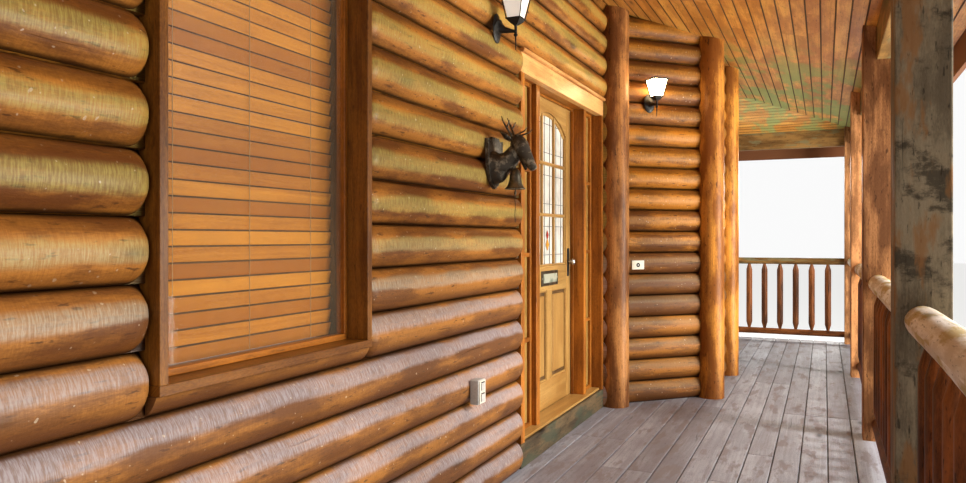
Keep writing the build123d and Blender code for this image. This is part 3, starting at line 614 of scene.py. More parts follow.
BLACK_IRON = Metal("black_iron", (0.018, 0.017, 0.016), (0.05, 0.045, 0.04), rough=0.45, metallic=0.6)
BRONZE = Metal(
    "dark_bronze", (0.060, 0.050, 0.040), (0.24, 0.205, 0.155), rough=0.46, pits=0.0020, wear=0.60,
)
BELL_METAL = Metal("bell_metal", (0.085, 0.072, 0.052), (0.20, 0.17, 0.12), rough=0.32, wear=0.5)
NICKEL = Metal("aged_nickel", (0.50, 0.52, 0.42), (0.26, 0.33, 0.25), rough=0.36, metallic=0.35, wear=0.6)
CHROME = Metal(
    "polished_knob", (0.72, 0.72, 0.70), (0.5, 0.5, 0.48), rough=0.12, metallic=1.0, pits=0.00005, wear=0.1,
)
LEAD = Metal("lead_lines", (0.12, 0.12, 0.12), (0.2, 0.2, 0.2), rough=0.5, metallic=0.7)
WINDOW_GLASS = Glazing("window_glass", (0.20, 0.19, 0.14), 0.10)
# Brown, nearly opaque tint on the sidelights' glass: a painted reflection of the porch; its cloudy pattern is
# the glass's own obscuring
SIDE_GLASS = Glazing("sidelight_glass", (0.42, 0.25, 0.075), 0.88, pattern=0.6)
DOOR_GLASS = Glazing("obscured_glass", (0.84, 0.84, 0.80), 0.92, rough=0.12, waves=0.003, pattern=0.55)
RED_GLASS = Glazing("ruby_glass", (0.42, 0.030, 0.020), 0.95, rough=0.1)
AMBER_GLASS = Glazing("amber_glass", (0.70, 0.32, 0.045), 0.95, rough=0.1)
LAMP_GLASS = Glazing("lit_lamp_glass", (1.0, 0.74, 0.40), 0.97, rough=0.45, glow=26.0)
COOL_LAMP_GLASS = Glazing("lamp_glass", (0.93, 0.92, 0.88), 0.97, rough=0.4, glow=0.35)


# Mesh building


def empty() -> Mesh:
    """A bmesh with the grain map and the tone layer.

    Returns:
        The empty bmesh.
    """
    bm = bmesh.new()
    bm.loops.layers.uv.new("grain")
    bm.verts.layers.float.new("tone")
    return bm


def move(x: float = 0.0, y: float = 0.0, z: float = 0.0) -> Matrix:
    """A shift."""
    return Matrix.Translation((x, y, z))


def turn_about(axis: str, degrees: float) -> Matrix:
    """A turn about an axis."""
    return Matrix.Rotation(math.radians(degrees), 4, axis)


def place_object(name: str, data: object) -> bpy.types.Object:
    """An object in the scene.

    Args:
        name: its name.
        data: its mesh, lamp or camera.

    Returns:
        The object.
    """
    made = bpy.data.objects.new(name, data)
    bpy.context.scene.collection.objects.link(made)
    return made


def shift_grain(bm: Mesh, shift: Vector) -> None:
    """Move a shape's grain map.

    Args:
        bm: the shape.
        shift: how far, in metres of grain map.
    """
    uv = bm.loops.layers.uv["grain"]
    for face in bm.faces:
        for loop in face.loops:
            loop[uv].uv += shift


def extrude(bm: Mesh, faces: list, by: Point, kept: bool = True) -> None:
    """Draw faces out by a distance, with the faces themselves kept to close the back or taken away.

    Args:
        bm: the shape.
        faces: the faces.
        by: the distance.
        kept: whether the faces stay.
    """
    made = bmesh.ops.extrude_face_region(bm, geom=faces)
    if not kept:
        bmesh.ops.delete(bm, geom=faces, context="FACES")
    verts = [item for item in made["geom"] if isinstance(item, bmesh.types.BMVert)]
    bmesh.ops.translate(bm, vec=by, verts=verts)
    bmesh.ops.recalc_face_normals(bm, faces=bm.faces)


def butt_joints(
    rng: random.Random, start: float, end: float, lengths: Sequence[float], least: float
) -> list[float]:
    """Places where the boards of one row meet.

    Args:
        rng: picks each board's length.
        start: start of the row.
        end: end of the row.
        lengths: the boards' stock lengths.
        least: the shortest last board.

    Returns:
        The places, with the start and the end.
    """
    joints = [start]
    while joints[-1] < end - 0.01:
        ahead = joints[-1] + rng.choice(lengths)
        joints.append(end if end - ahead < least else ahead)
    return joints


def close_holes(bm: Mesh) -> None:
    """Fill open edges and turn faces outwards.

    Args:
        bm: the shape.
    """
    edges = [edge for edge in bm.edges if edge.is_boundary]
    if edges:
        bmesh.ops.holes_fill(bm, edges=edges, sides=0)
    bmesh.ops.recalc_face_normals(bm, faces=bm.faces)


def cut(bm: Mesh, at: Sequence[float], normal: Sequence[float]) -> None:
    """Take away what lies beyond a plane, and close the cut.

    Args:
        bm: the shape.
        at: a point of the plane.
        normal: points to the side that goes.
    """
    geometry = [*bm.verts, *bm.edges, *bm.faces]
    bmesh.ops.bisect_plane(bm, geom=geometry, plane_co=at, plane_no=normal, clear_outer=True, dist=1e-6)
    if bm.faces:
        close_holes(bm)


def bevel(bm: Mesh, edges: list, width: float, segments: int = 2) -> None:
    """Round or chamfer edges.

    Args:
        bm: the shape.
        edges: the edges.
        width: how far the easing reaches.
        segments: faces across it, 1 for a chamfer.
    """
    bmesh.ops.bevel(
        bm, geom=edges, offset=width, offset_type="OFFSET", affect="EDGES", segments=segments, profile=0.5,
        material=-1, clamp_overlap=True,
    )


def edges_before(bm: Mesh, y: float) -> list:
    """Edges that lie in front of a plane across y."""
    return [edge for edge in bm.edges if all(vert.co.y < y for vert in edge.verts)]


def map_grain(bm: Mesh, axis: Axis, rng: random.Random) -> None:
    """Lay the grain map along an axis, with its own offset on each piece.

    Args:
        bm: the shape.
        axis: the way of the grain.
        rng: picks the offset.
    """
    uv = bm.loops.layers.uv["grain"]
    others = [i for i in range(3) if i != axis.value]
    shift = (rng.uniform(0, 40), rng.uniform(0, 40))
    for face in bm.faces:
        for loop in face.loops:
            co = loop.vert.co
            loop[uv].uv = (co[axis.value] + shift[0], co[others[0]] + co[others[1]] + shift[1])


def block(low: Sequence[float], high: Sequence[float]) -> Mesh:
    """A box between two corners.

    Args:
        low: the lowest corner.
        high: the highest corner.

    Returns:
        The box.
    """
    bm = empty()
    bmesh.ops.create_cube(bm, size=1.0)
    size = [high[i] - low[i] for i in range(3)]
    middle = [(high[i] + low[i]) / 2 for i in range(3)]
    bmesh.ops.scale(bm, vec=size, verts=bm.verts)
    bmesh.ops.translate(bm, vec=middle, verts=bm.verts)
    return bm


def skin(
    rows: Sequence[float], columns: int, point: Callable[[float, float], Vector], girth: float
) -> Mesh:
    """A closed tube of grid faces, shaped by a function of place along it and turn round it.

    Args:
        rows: places along the tube, in metres.
        columns: faces round the tube.
        point: gives the place of (along, turn from 0 to 1).
        girth: length round the tube, for its grain map.

    Returns:
        The closed mesh, with its grain map laid along the tube.
    """
    bm = empty()
    bmesh.ops.create_grid(bm, x_segments=len(rows) - 1, y_segments=columns, size=0.5)
    uv = bm.loops.layers.uv["grain"]
    count = len(rows) - 1
    for face in bm.faces:
        for loop in face.loops:
            i = round((loop.vert.co.x + 0.5) * count)
            loop[uv].uv = (rows[i], (loop.vert.co.y + 0.5) * girth)
    for vert in bm.verts:
        i = round((vert.co.x + 0.5) * count)
        vert.co = point(rows[i], vert.co.y + 0.5)
    bmesh.ops.remove_doubles(bm, verts=bm.verts, dist=1e-6)
    sides = set(bm.faces)
    close_holes(bm)
    for face in bm.faces:
        if face not in sides:
            for loop in face.loops:
                loop[uv].uv = (loop.vert.co.z * 2.0, girth * 0.35)
    return bm


def tube(
    points: Sequence[Point], radii: Sequence[float], sides: int = 12, flat: float = 1.0
) -> Mesh:
    """A tube along a few points, smoothed between them.

    Args:
        points: places along its middle.
        radii: its radius at each of them.
        sides: faces round it.
        flat: its height as a share of its width.

    Returns:
        The closed tube.
    """
    count = (len(points) - 1) * 5
    path = [Vector(p) for p in points]

    def along(t: float) -> tuple[Vector, float]:
        """Place and radius at a share of the way, on a smooth curve through the points."""
        k = min(int(t), len(path) - 2)
        f = t - k
        p0, p1, p2, p3 = path[max(k - 1, 0)], path[k], path[k + 1], path[min(k + 2, len(path) - 1)]
        square, cube = 2 * p0 - 5 * p1 + 4 * p2 - p3, 3 * p1 - p0 - 3 * p2 + p3
        spline = 0.5 * (2 * p1 + (p2 - p0) * f + square * f * f + cube * f**3)
        return spline, radii[k] * (1 - f) + radii[k + 1] * f

    def point(t: float, turn: float) -> Vector:
        """A point of the tube's skin."""
        centre, radius = along(t)
        ahead = along(min(t + 0.02, len(path) - 1.0))[0] - along(max(t - 0.02, 0.0))[0]
        ahead.normalize()
        side = ahead.cross(Vector((0.31, 0.17, 0.93))).normalized()
        up = side.cross(ahead)
        angle = math.tau * turn
        return centre + (side * math.cos(angle) + up * (math.sin(angle) * flat)) * radius

    rows = [i / count * (len(path) - 1) for i in range(count + 1)]
    return skin(rows, sides, point, 0.1)


def turned(profile: Sequence[tuple[float, float]], steps: int = 24) -> Mesh:
    """A shape turned about +Z from points of radius and height.

    Args:
        profile: the points.
        steps: faces round the shape.

    Returns:
        The closed shape.
    """
    bm = empty()
    verts = [bm.verts.new((radius, 0.0, height)) for radius, height in profile]
    edges = [bm.edges.new(pair) for pair in zip(verts, verts[1:])]
    bmesh.ops.spin(
        bm, geom=[*verts, *edges], cent=(0, 0, 0), axis=(0, 0, 1), angle=math.tau, steps=steps, use_merge=True
    )
    bmesh.ops.remove_doubles(bm, verts=bm.verts, dist=1e-6)
    close_holes(bm)
    return bm


@dataclass
class Piece:
    """A mesh that gathers shapes under one name."""

    name: str
    body: str = "porch"
    replaces: tuple[str, ...] = ()
    smooth: float | None = None
    at: Matrix | None = None
    finishes: list = field(default_factory=list)
    bm: Mesh = field(default_factory=empty)

    def __post_init__(self) -> None:
        """Seed the piece's own random draws."""
        self.rng = random.Random(f"{self.name}7")

    def add(
        self,
        shape: Mesh,
        finish: Finish,
        place: Matrix | None = None,
        grain: Axis | None = None,
        tone: float | None = None,
        tagged: Finish | None = None,
    ) -> None:
        """Add a shape.

        Args:
            shape: the mesh, which is used up.
            finish: its finish.
            place: where it goes, or None for the piece's own place.
            grain: lays the grain map along this axis of the shape.
            tone: its shade from 0 to 1, or None for a random one.
            tagged: another finish for the shape's tagged faces.
        """
        if grain:
            map_grain(shape, grain, self.rng)
        if finish not in self.finishes:
            self.finishes.append(finish)
        value = self.rng.random() if tone is None else tone
        layer = shape.verts.layers.float["tone"]
        for vert in shape.verts:
            vert[layer] = value
        index = self.finishes.index(finish)
        for face in shape.faces:
            face.material_index = index
        if tagged:
            if tagged not in self.finishes:
                self.finishes.append(tagged)
            for face in shape.faces:
                if face.tag:
                    face.material_index = self.finishes.index(tagged)
        place = self.at if place is None else place
        if place is not None:
            bmesh.ops.transform(shape, matrix=place, verts=shape.verts)
        mesh = bpy.data.meshes.new("shape")
        shape.to_mesh(mesh)
        shape.free()
        self.bm.from_mesh(mesh)
        bpy.data.meshes.remove(mesh)

    def board(
        self,
        low: Sequence[float],
        high: Sequence[float],
        finish: Finish,
        grain: Axis,
        edge: float = 0.002,
        tone: float | None = None,
    ) -> None:
        """Add a board with eased edges.

        Args:
            low: lowest corner.
            high: highest corner.
            finish: its finish.
            grain: the way of its grain.
            edge: width of the easing, or 0.
            tone: its shade, or None for a random one.
        """
        shape = block(low, high)
        if edge:
            bevel(shape, shape.edges[:], edge)
        self.add(shape, finish, None, grain, tone)

    def done(self) -> bpy.types.Object:
        """Make the object, ride it on its body and hide what it replaces.

        Returns:
            The object.
        """
        mesh = bpy.data.meshes.new(self.name)
        self.bm.to_mesh(mesh)
        self.bm.free()
        for finish in self.finishes:
            mesh.materials.append(finish.material())
        made = place_object(self.name, mesh)
        if self.smooth is not None:
            mesh.shade_smooth()
            mesh.set_sharp_from_angle(angle=math.radians(self.smooth))
        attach(made, self.body)
        if self.replaces:
            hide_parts(*self.replaces)
        log.info("%s: %d faces", self.name, len(mesh.polygons))
        return made


# Profiles of radius and height, and the parts of the cast head

KNOB = [
    (0.0, 0.0), (0.010, 0.0), (0.009, 0.012), (0.0085, 0.022), (0.017, 0.027), (0.0245, 0.035),
    (0.0262, 0.043), (0.0225, 0.051), (0.013, 0.0555), (0.0, 0.056),
]
KNOB_ROSE = [(0.0, 0.0035), (0.0165, 0.0035), (0.0155, 0.0065), (0.011, 0.0085), (0.0, 0.0085)]
KEYHOLE = [(0.0, 0.004), (0.006, 0.004), (0.006, 0.0055), (0.0, 0.0055)]
SCREW = [(0.0, 0.0), (0.005, 0.0), (0.0045, 0.0015), (0.0, 0.0022)]
LETTER_LAYERS = (
    (0.165, 0.05, 0.005, 0.0, BELL_METAL),
    (0.132, 0.030, 0.0095, 0.0045, NICKEL),
    (0.122, 0.021, 0.0125, 0.009, NICKEL),
)
LANTERN_ROSE = [
    (0, 0), (1, 0), (1, 0.004), (0.95, 0.0062), (0.88, 0.0070), (0.83, 0.0095), (0.62, 0.0115), (0, 0.0115),
]


@dataclass(frozen=True)
class Limb:
    """One cast part: points along its middle, a radius at each, sides and flatness."""

    points: tuple[Point, ...]
    radii: tuple[float, ...]
    sides: int
    flat: float = 1.0
    finish: Finish = BRONZE

    def cast(self, piece: Piece, side: int = 1) -> None:
        """Add the part, mirrored if the side is -1."""
        points = [(side * x, y, z) for x, y, z in self.points]
        piece.add(tube(points, self.radii, self.sides, self.flat), self.finish, None, Axis.Z)


NECK = Limb(
    ((0, -0.017, -0.008), (0, -0.055, -0.004), (0, -0.095, 0.020), (0, -0.124, 0.058), (0, -0.134, 0.086)),
    (0.081, 0.068, 0.051, 0.041, 0.028), 28, 0.82,
)
CHEST = Limb(
    ((0, -0.012, -0.024), (0, -0.032, -0.022), (0, -0.054, -0.008), (0, -0.084, 0.014)),
    (0.058, 0.055, 0.039, 0.029), 28, 1.44,
)
SKULL = Limb(
    (
        (0, -0.112, 0.124), (0, -0.128, 0.110), (0, -0.149, 0.077), (0, -0.176, 0.034), (0, -0.202, -0.008),
        (0, -0.2175, -0.0315), (0, -0.2205, -0.0365), (0, -0.2220, -0.0390),
    ),
    (0.014, 0.036, 0.0430, 0.0325, 0.0235, 0.0190, 0.0155, 0.0080), 28, 1.04,
)
JAW = Limb(((0, -0.143, 0.048), (0, -0.164, 0.006), (0, -0.179, -0.037)), (0.024, 0.017, 0.007), 20, 0.64)
EAR = Limb(
    ((0.024, -0.112, 0.104), (0.037, -0.101, 0.115), (0.048, -0.089, 0.127), (0.060, -0.066, 0.150)),
    (0.008, 0.0155, 0.0175, 0.0022), 18, 0.40,
)
ANTLER = Limb(
    (
        (0.014, -0.114, 0.122), (0.024, -0.102, 0.148), (0.034, -0.088, 0.174), (0.040, -0.074, 0.202),
        (0.037, -0.0645, 0.2285),
    ),
    (0.0072, 0.0058, 0.0049, 0.0040, 0.0014), 12,
)
BACK_TINE = Limb(
    ((0.032, -0.090, 0.170), (0.038, -0.102, 0.190), (0.040, -0.108, 0.2065)), (0.0044, 0.0035, 0.0012), 10,
)
FRONT_TINE = Limb(
    ((0.017, -0.116, 0.124), (0.025, -0.148, 0.137), (0.031, -0.180, 0.148), (0.033, -0.199, 0.165)),
    (0.0050, 0.0042, 0.0036, 0.0012), 10,
)
BROW = Limb(
    ((0.022, -0.160, 0.097), (0.034, -0.164, 0.087), (0.036, -0.171, 0.072)), (0.003, 0.0042, 0.0025), 10,
)
NOSTRIL = Limb(((0.013, -0.214, -0.018), (0.0135, -0.219, -0.028)), (0.0045, 0.0035), 10, finish=BELL_METAL)

SHOWN_SOLIDS = {
    MASONRY: "foundation deck_piers",
    RAW: "deck_frame rafters rear_ledger",
    WINDOW_GLASS: "window_glass",
    SIDE_GLASS: "sidelight_glass",
    DOOR_GLASS: "door_glass",
    BLACK_IRON: "door_hinges frame_hinges",
    SHINGLES: "roof_front",
    END_SHINGLES: "roof_end",
    FASCIA: "front_fascia end_fascia near_barge_board",
}


# The porch's plan


@dataclass
class Plan:
    """Driving sizes, with the places that they give."""

    bay: float = 2.38
    bays: int = 4
    post: float = 0.175
    near_overhang: float = 0.3
    eave: float = 0.5
    depth: float = 1.86
    pitch: float = 0.168
    bulge: float = 0.045
    back: float = 0.185
    courses: int = 20
    head_course: int = 14
    ceiling: float = 2.626
    slope: float = 0.24
    beam_bottom: float = 2.42
    beam: float = 0.098
    ease: float = 0.006

    def __post_init__(self) -> None:
        """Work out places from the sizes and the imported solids."""
        self.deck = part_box("deck_front")[1][2]
        (near_x, self.front_y, _), (self.far_x, self.back_y, _) = CAD_BOX
        self.posts_x = [near_x + self.near_overhang + self.bay * i for i in range(self.bays + 1)]
        self.post_y = self.front_y + self.eave
        self.wall_y = self.post_y + self.depth
        self.ceiling_at_posts = self.deck + self.ceiling

    def level(self, course: float) -> float:
        """Bottom of a log course."""
        return self.deck + course * self.pitch

    def cut_to_ceiling(self, bm: Mesh) -> None:
        """Cut a shape in the porch's own frame to the two slopes of the ceiling.

        Args:
            bm: the shape.
        """
        cut(bm, (0, self.post_y, self.ceiling_at_posts), (0, -self.slope, 1))
        if bm.faces:
            cut(bm, (self.posts_x[-1], 0, self.ceiling_at_posts), (self.slope, 0, 1))


PLAN = Plan()
HAIR = 0.0003


class Wall:
    """A straight run of log wall: x along it, y into it from the line of its grooves."""

    def __init__(self, start: Sequence[float], end: Sequence[float], set_back: float) -> None:
        """Set the wall's frame.

        Args:
            start: centre of the corner post at its start.
            end: centre of the corner post at its end.
            set_back: from the posts' centres in to the grooves.
        """
        self.start, self.end = Vector((*start[:2], 0)), Vector((*end[:2], 0))
        run = self.end - self.start
        self.length = run.length
        turn = math.atan2(run.y, run.x)
        self.inward = Vector((-math.sin(turn), math.cos(turn), 0))
        self.matrix = Matrix.Translation(self.start + self.inward * set_back) @ Matrix.Rotation(turn, 4, "Z")


SET_BACK, BAY_SET_BACK = 0.085, 0.045
BAY_OUT, BAY_WIDE, DOOR_POST_RUN = 0.63, 1.12, 5.0
POST_LINE = PLAN.wall_y - SET_BACK
NEAR_AT = (PLAN.posts_x[0], POST_LINE)
DOOR_AT = (PLAN.posts_x[0] + DOOR_POST_RUN, POST_LINE)
BAY_AT = (DOOR_AT[0] + BAY_OUT, DOOR_AT[1] - BAY_OUT)
END_AT = (BAY_AT[0] + BAY_WIDE, BAY_AT[1])
FRONT = Wall(NEAR_AT, DOOR_AT, SET_BACK)
CANTED = Wall(DOOR_AT, BAY_AT, BAY_SET_BACK)
BAY_FRONT = Wall(BAY_AT, END_AT, BAY_SET_BACK)
END_WALL = Wall(END_AT, (END_AT[0], PLAN.back_y), BAY_SET_BACK)


@dataclass
class LogWalls:
    """D-shaped logs of all the walls, and the round posts at their corners."""

    arc_faces: int = 14
    front: float = 0.62
    flat: float = 0.34
    end_round: float = 0.062
    end_share: float = 0.30
    end_steps: tuple[float, ...] = (0.0, 0.02, 0.07, 0.16, 0.3, 0.5, 0.75, 1.0)
    spacing: float = 0.07
    wander: float = 0.0035
    gap: float = 0.0006
    overrun: float = 0.05
    past_corner: float = 0.2
    into_corner: float = 0.3
    post_rows: int = 44
    post_step: float = 0.08
    post_radius: float = 0.105
    bay_post_radius: float = 0.102
    swell: float = 0.02
    lumps: float = 0.012

    def one(
        self, x0: float, x1: float, z0: float, z1: float, ends: tuple[End, End], seed: float
    ) -> Mesh:
        """One log in its wall's frame.

        Args:
            x0: start along the wall.
            x1: end along the wall.
            z0: level of its bottom.
            z1: level of its top.
            ends: how it ends.
            seed: makes it wander in its own way.

        Returns:
            The closed log.
        """
        near_end = [self.end_round * share for share in self.end_steps]
        span = x1 - x0 - 2 * self.end_round
        count = max(2, int(span / self.spacing))
        rows = [x0 + step for step in near_end]
        rows += [x0 + self.end_round + span * (i / count) for i in range(1, count)]
        rows += [x1 - step for step in reversed(near_end)]
        half, middle, bulge, front = (z1 - z0) / 2 - self.gap, (z0 + z1) / 2, PLAN.bulge, self.front
        radius = (half * half + bulge * bulge) / (2 * bulge)
        reach = math.asin(half / radius)

        def dome(x: float) -> float:
            """How far a rounded end draws the log's face in, from 0 to 1."""
            share = 1.0
            for end, away in ((ends[0], x - x0), (ends[1], x1 - x)):
                if end is End.ROUND and away < self.end_round:
                    share = min(share, math.sqrt(max(0.0, 1 - (1 - away / self.end_round) ** 2)))
            return share

        def point(x: float, turn: float) -> Vector:
            """A point of the log's skin: the bulging front, then the top, the flat back and the bottom."""
            if turn <= front:
                angle = reach * (2 * turn / front - 1)
                drift = noise.noise(Vector((x * 1.7, angle * 0.8, seed)))
                lump = noise.noise(Vector((x * 5.3, angle * 2.1, seed + 31.0)))
                weight = math.cos(angle / reach * math.pi / 2)
                out = bulge + (math.cos(angle) - 1) * radius + weight * (drift + 0.5 * lump) * self.wander
                drawn = dome(x)
                rise = radius * math.sin(angle) * (self.end_share + (1 - self.end_share) * drawn)
                return Vector((x, -max(0.0, min(out, bulge)) * drawn, middle + rise))
            share, flat = (turn - front) / (1 - front), self.flat
            if share < flat:
                return Vector((x, share / flat * PLAN.back, middle + half))
            if share < 1 - flat:
                return Vector((x, PLAN.back, middle + half * (1 - 2 * (share - flat) / (1 - 2 * flat))))
            return Vector((x, (1 - share) / flat * PLAN.back, middle - half))

        return skin(rows, int(self.arc_faces / front), point, LOG_GIRTH)

    def run(
        self,
        name: str,
        wall: Wall,
        spans: Sequence[tuple[float, float, int, int, tuple[End, End]]],
        finish: Finish,
        mitres: Sequence[tuple[Wall, bool]] = (),
        level_cut: float | None = None,
    ) -> None:
        """All the logs of one packed wall.

        Args:
            name: the piece's name, with the node that it replaces.
            wall: whose frame it is built in.
            spans: start, end, first course, course after the last, and ends.
            finish: the logs' finish.
            mitres: neighbouring walls, and whether each is at this wall's end.
            level_cut: height above which the last span is cut off.
        """
        piece = Piece(f"{name}_logs", replaces=(name,), smooth=38)
        for span in spans:
            x0, x1, first, last, ends = span
            for course in range(first, last):
                seed = piece.rng.uniform(0, 90)
                shape = self.one(x0, x1, PLAN.level(course), PLAN.level(course + 1), ends, seed)
                shift = Vector((piece.rng.uniform(0, 50), piece.rng.randrange(1, 150) * LOG_GIRTH))
                shift_grain(shape, shift)
                bmesh.ops.transform(shape, matrix=wall.matrix, verts=shape.verts)
                for other, at_end in mitres:
                    bisector = (other.inward + wall.inward).normalized()
                    across = Vector((bisector.y, -bisector.x, 0)) * (1 if at_end else -1)
                    cut(shape, wall.end if at_end else wall.start, across)
                if level_cut is not None and span is spans[-1]:
                    cut(shape, (0, 0, level_cut), (0, 0, 1))
                PLAN.cut_to_ceiling(shape)
                if shape.faces:
                    piece.add(shape, finish)
        piece.done()

    def posts(self) -> None:
        """The four round corner posts."""
        piece = Piece("round_corner_posts", replaces=("wall_corner_posts",), smooth=60)
        for i, (x, y) in enumerate((NEAR_AT, DOOR_AT, BAY_AT, END_AT)):
            radius, finish = (self.post_radius, CORNER_POST) if i < 2 else (self.bay_post_radius, BAY_POST)
            seed = piece.rng.uniform(0, 90)

            def point(z: float, turn: float) -> Vector:
                """A point of the post's skin."""
                c, w = math.cos(math.tau * turn), math.sin(math.tau * turn)
                flow = noise.noise(Vector((c, w, z * 0.9 + seed)))
                lump = noise.noise(Vector((c * 2.5, w * 2.5, z * 5 + seed)))
                reach = radius * (1 + self.swell * flow + self.lumps * lump - self.swell)
                return Vector((x + reach * c, y + reach * w, z))

            rows = [PLAN.deck + self.post_step * i for i in range(self.post_rows)]
            shape = skin(rows, 32, point, math.tau * radius)
            PLAN.cut_to_ceiling(shape)
            piece.add(shape, finish)
        piece.done()

    def build(self, door: "DoorUnit", window: "Window") -> None:
        """Build every wall.

        Args:
            door: sets the opening of the door unit.
            window: sets the opening of the window.
        """
        plain, left_cut, both = (End.CUT, End.CUT), (End.CUT, End.ROUND), (End.ROUND, End.ROUND)
        w0, w1, d0, d1 = window.x0, window.x1, door.x0, door.x1
        base, top, all_up, over = window.sill_course, PLAN.head_course, PLAN.courses, self.overrun
        front_end = FRONT.length + self.past_corner
        canted = (-self.into_corner, CANTED.length + over, 0, all_up)
        bay_front = (-over, BAY_FRONT.length + over, 0, all_up)
        end = (-over, END_WALL.length, 0, all_up)
        below = [(0, d0, 0, base, left_cut), (w0, w1, base, base + 1, plain)]
        self.run("front_wall_below_window", FRONT, below, LOGS, level_cut=window.z0)
        self.run("front_wall_left", FRONT, [(0, w0, base, top, left_cut)], LOGS)
        self.run("front_wall_middle", FRONT, [(w1, d0, base, top, both)], LOGS)
        for name, wall, span, finish, mitres in (
            ("front_wall_right", FRONT, (d1, front_end, 0, top), LOGS, [(CANTED, True)]),
            ("front_wall_over_openings", FRONT, (0, front_end, top, all_up), LOGS, [(CANTED, True)]),
            ("canted_wall", CANTED, canted, BAY_LOGS, [(FRONT, False), (BAY_FRONT, True)]),
            ("bay_front_wall", BAY_FRONT, bay_front, BAY_LOGS, [(CANTED, False), (END_WALL, True)]),
            ("end_wall", END_WALL, end, BAY_LOGS, [(BAY_FRONT, False)]),
        ):
            self.run(name, wall, [(*span, plain)], finish, mitres)
        self.posts()


@dataclass
class Window:
    """Boxed window with a wooden blind behind its glass, in the front wall's frame."""

    x0: float = 0.68
    width: float = 0.96
    sill: float = 0.893
    board: float = 0.028
    proud: float = 0.005
    sash_y: float = 0.037
    sash: float = 0.036
    sash_face: float = 0.020
    seat: float = 0.0006
    slat_pitch: float = 0.047
    slat: float = 0.050
    slat_thick: float = 0.003
    slat_gap: float = 0.004
    lip: float = 0.005
    tilt: float = -76.0
    blind_head: float = 0.045
    blind_slack: float = 0.0002
    head_slack: float = 0.0005
    head_half: float = 0.0198
    cord: float = 0.003
    cord_off: float = 0.0018
    cord_tail: float = 0.022
    cords_at: tuple[float, ...] = (0.18, 0.5, 0.82)

    def __post_init__(self) -> None:
        """Work out the opening's far side, its levels and the course under it."""
        self.x1 = self.x0 + self.width
        self.z0, self.z1 = PLAN.deck + self.sill, PLAN.level(PLAN.head_course)
        self.sill_course = int(self.sill // PLAN.pitch)

    def ring(
        self, name: str, node: str, inset: float, face: float, y0: float, y1: float, finish: Finish
    ) -> None:
        """Four boards round the opening, the sides between the top and the bottom.

        Args:
            name: the piece's name.
            node: the solid that it replaces.
            inset: how far inside the opening the boards start.
            face: their width.
            y0: their front.
            y1: their back.
            finish: their finish.
        """
        piece = Piece(name, replaces=(node,), at=FRONT.matrix)
        x0, x1, z0, z1 = self.x0 + inset, self.x1 - inset, self.z0 + inset, self.z1 - inset
        piece.board((x0, y0, z0), (x1, y1, z0 + face), finish, Axis.X)
        piece.board((x0, y0, z1 - face), (x1, y1, z1), finish, Axis.X)
        piece.board((x0, y0, z0 + face), (x0 + face, y1, z1 - face), finish, Axis.Z)
        piece.board((x1 - face, y0, z0 + face), (x1, y1, z1 - face), finish, Axis.Z)
        piece.done()

    def blind(self, inner: float) -> None:
        """Head rail, slats with a dark strip along their upper edge as a painted shadow between the slats,
        and three cords.

        Args:
            inner: from the opening to the inside of its box.
        """
        blind = Piece("window_blind_slats", replaces=("window_blind",), at=FRONT.matrix)
        half, thick = self.slat / 2, self.slat_thick / 2
        y, top = self.sash_y + self.sash + half + self.slat_gap, self.z1 - inner
        left, right = self.x0 + inner + self.sash_face, self.x1 - inner - self.sash_face
        reach = self.sash_face - self.head_slack
        blind.board(
            (left - reach, y - self.head_half, top - self.blind_head + self.blind_slack),
            (right + reach, y + self.head_half, top - self.blind_slack), BLIND, Axis.X,
        )
        count = int((top - self.z0 - inner - self.blind_head - half) // self.slat_pitch)
        for i in range(count):
            level = top - self.blind_head - self.slat_pitch * (i + 1)
            place = FRONT.matrix @ move(y=y, z=level) @ turn_about("X", self.tilt)
            edge = self.lip - half
            blind.add(block((left, edge, -thick), (right, half, thick)), BLIND, place, Axis.X)
            # A dark strip along each slat's upper edge: a painted shadow between the slats
            lip = block((left, -half, -thick), (right, edge - self.blind_slack, thick))
            blind.add(lip, DARK_JOINTS_AND_SHADOW, place, Axis.X)
        front = y - half * math.cos(math.radians(self.tilt)) - self.cord_off
        low = top - self.blind_head - self.slat_pitch * count - self.cord_tail
        for share in self.cords_at:
            x = self.x0 + self.width * share
            corner = (x + self.cord / 2, front, top - self.blind_head - 0.001)
            blind.board((x, front - self.cord / 2, low), corner, TAPE, Axis.Z, 0)
        blind.done()

    def build(self) -> None:
        """Build the window."""
        inner = self.board + self.seat
        front = -PLAN.bulge - self.proud
        self.ring("window_casing_boards", "window_casing", HAIR, self.board, front, PLAN.back, CASING)
        back = self.sash_y + self.sash
        self.ring("window_sash_frame", "window_sash", inner, self.sash_face, self.sash_y, back, JAMBS)
        self.blind(inner)


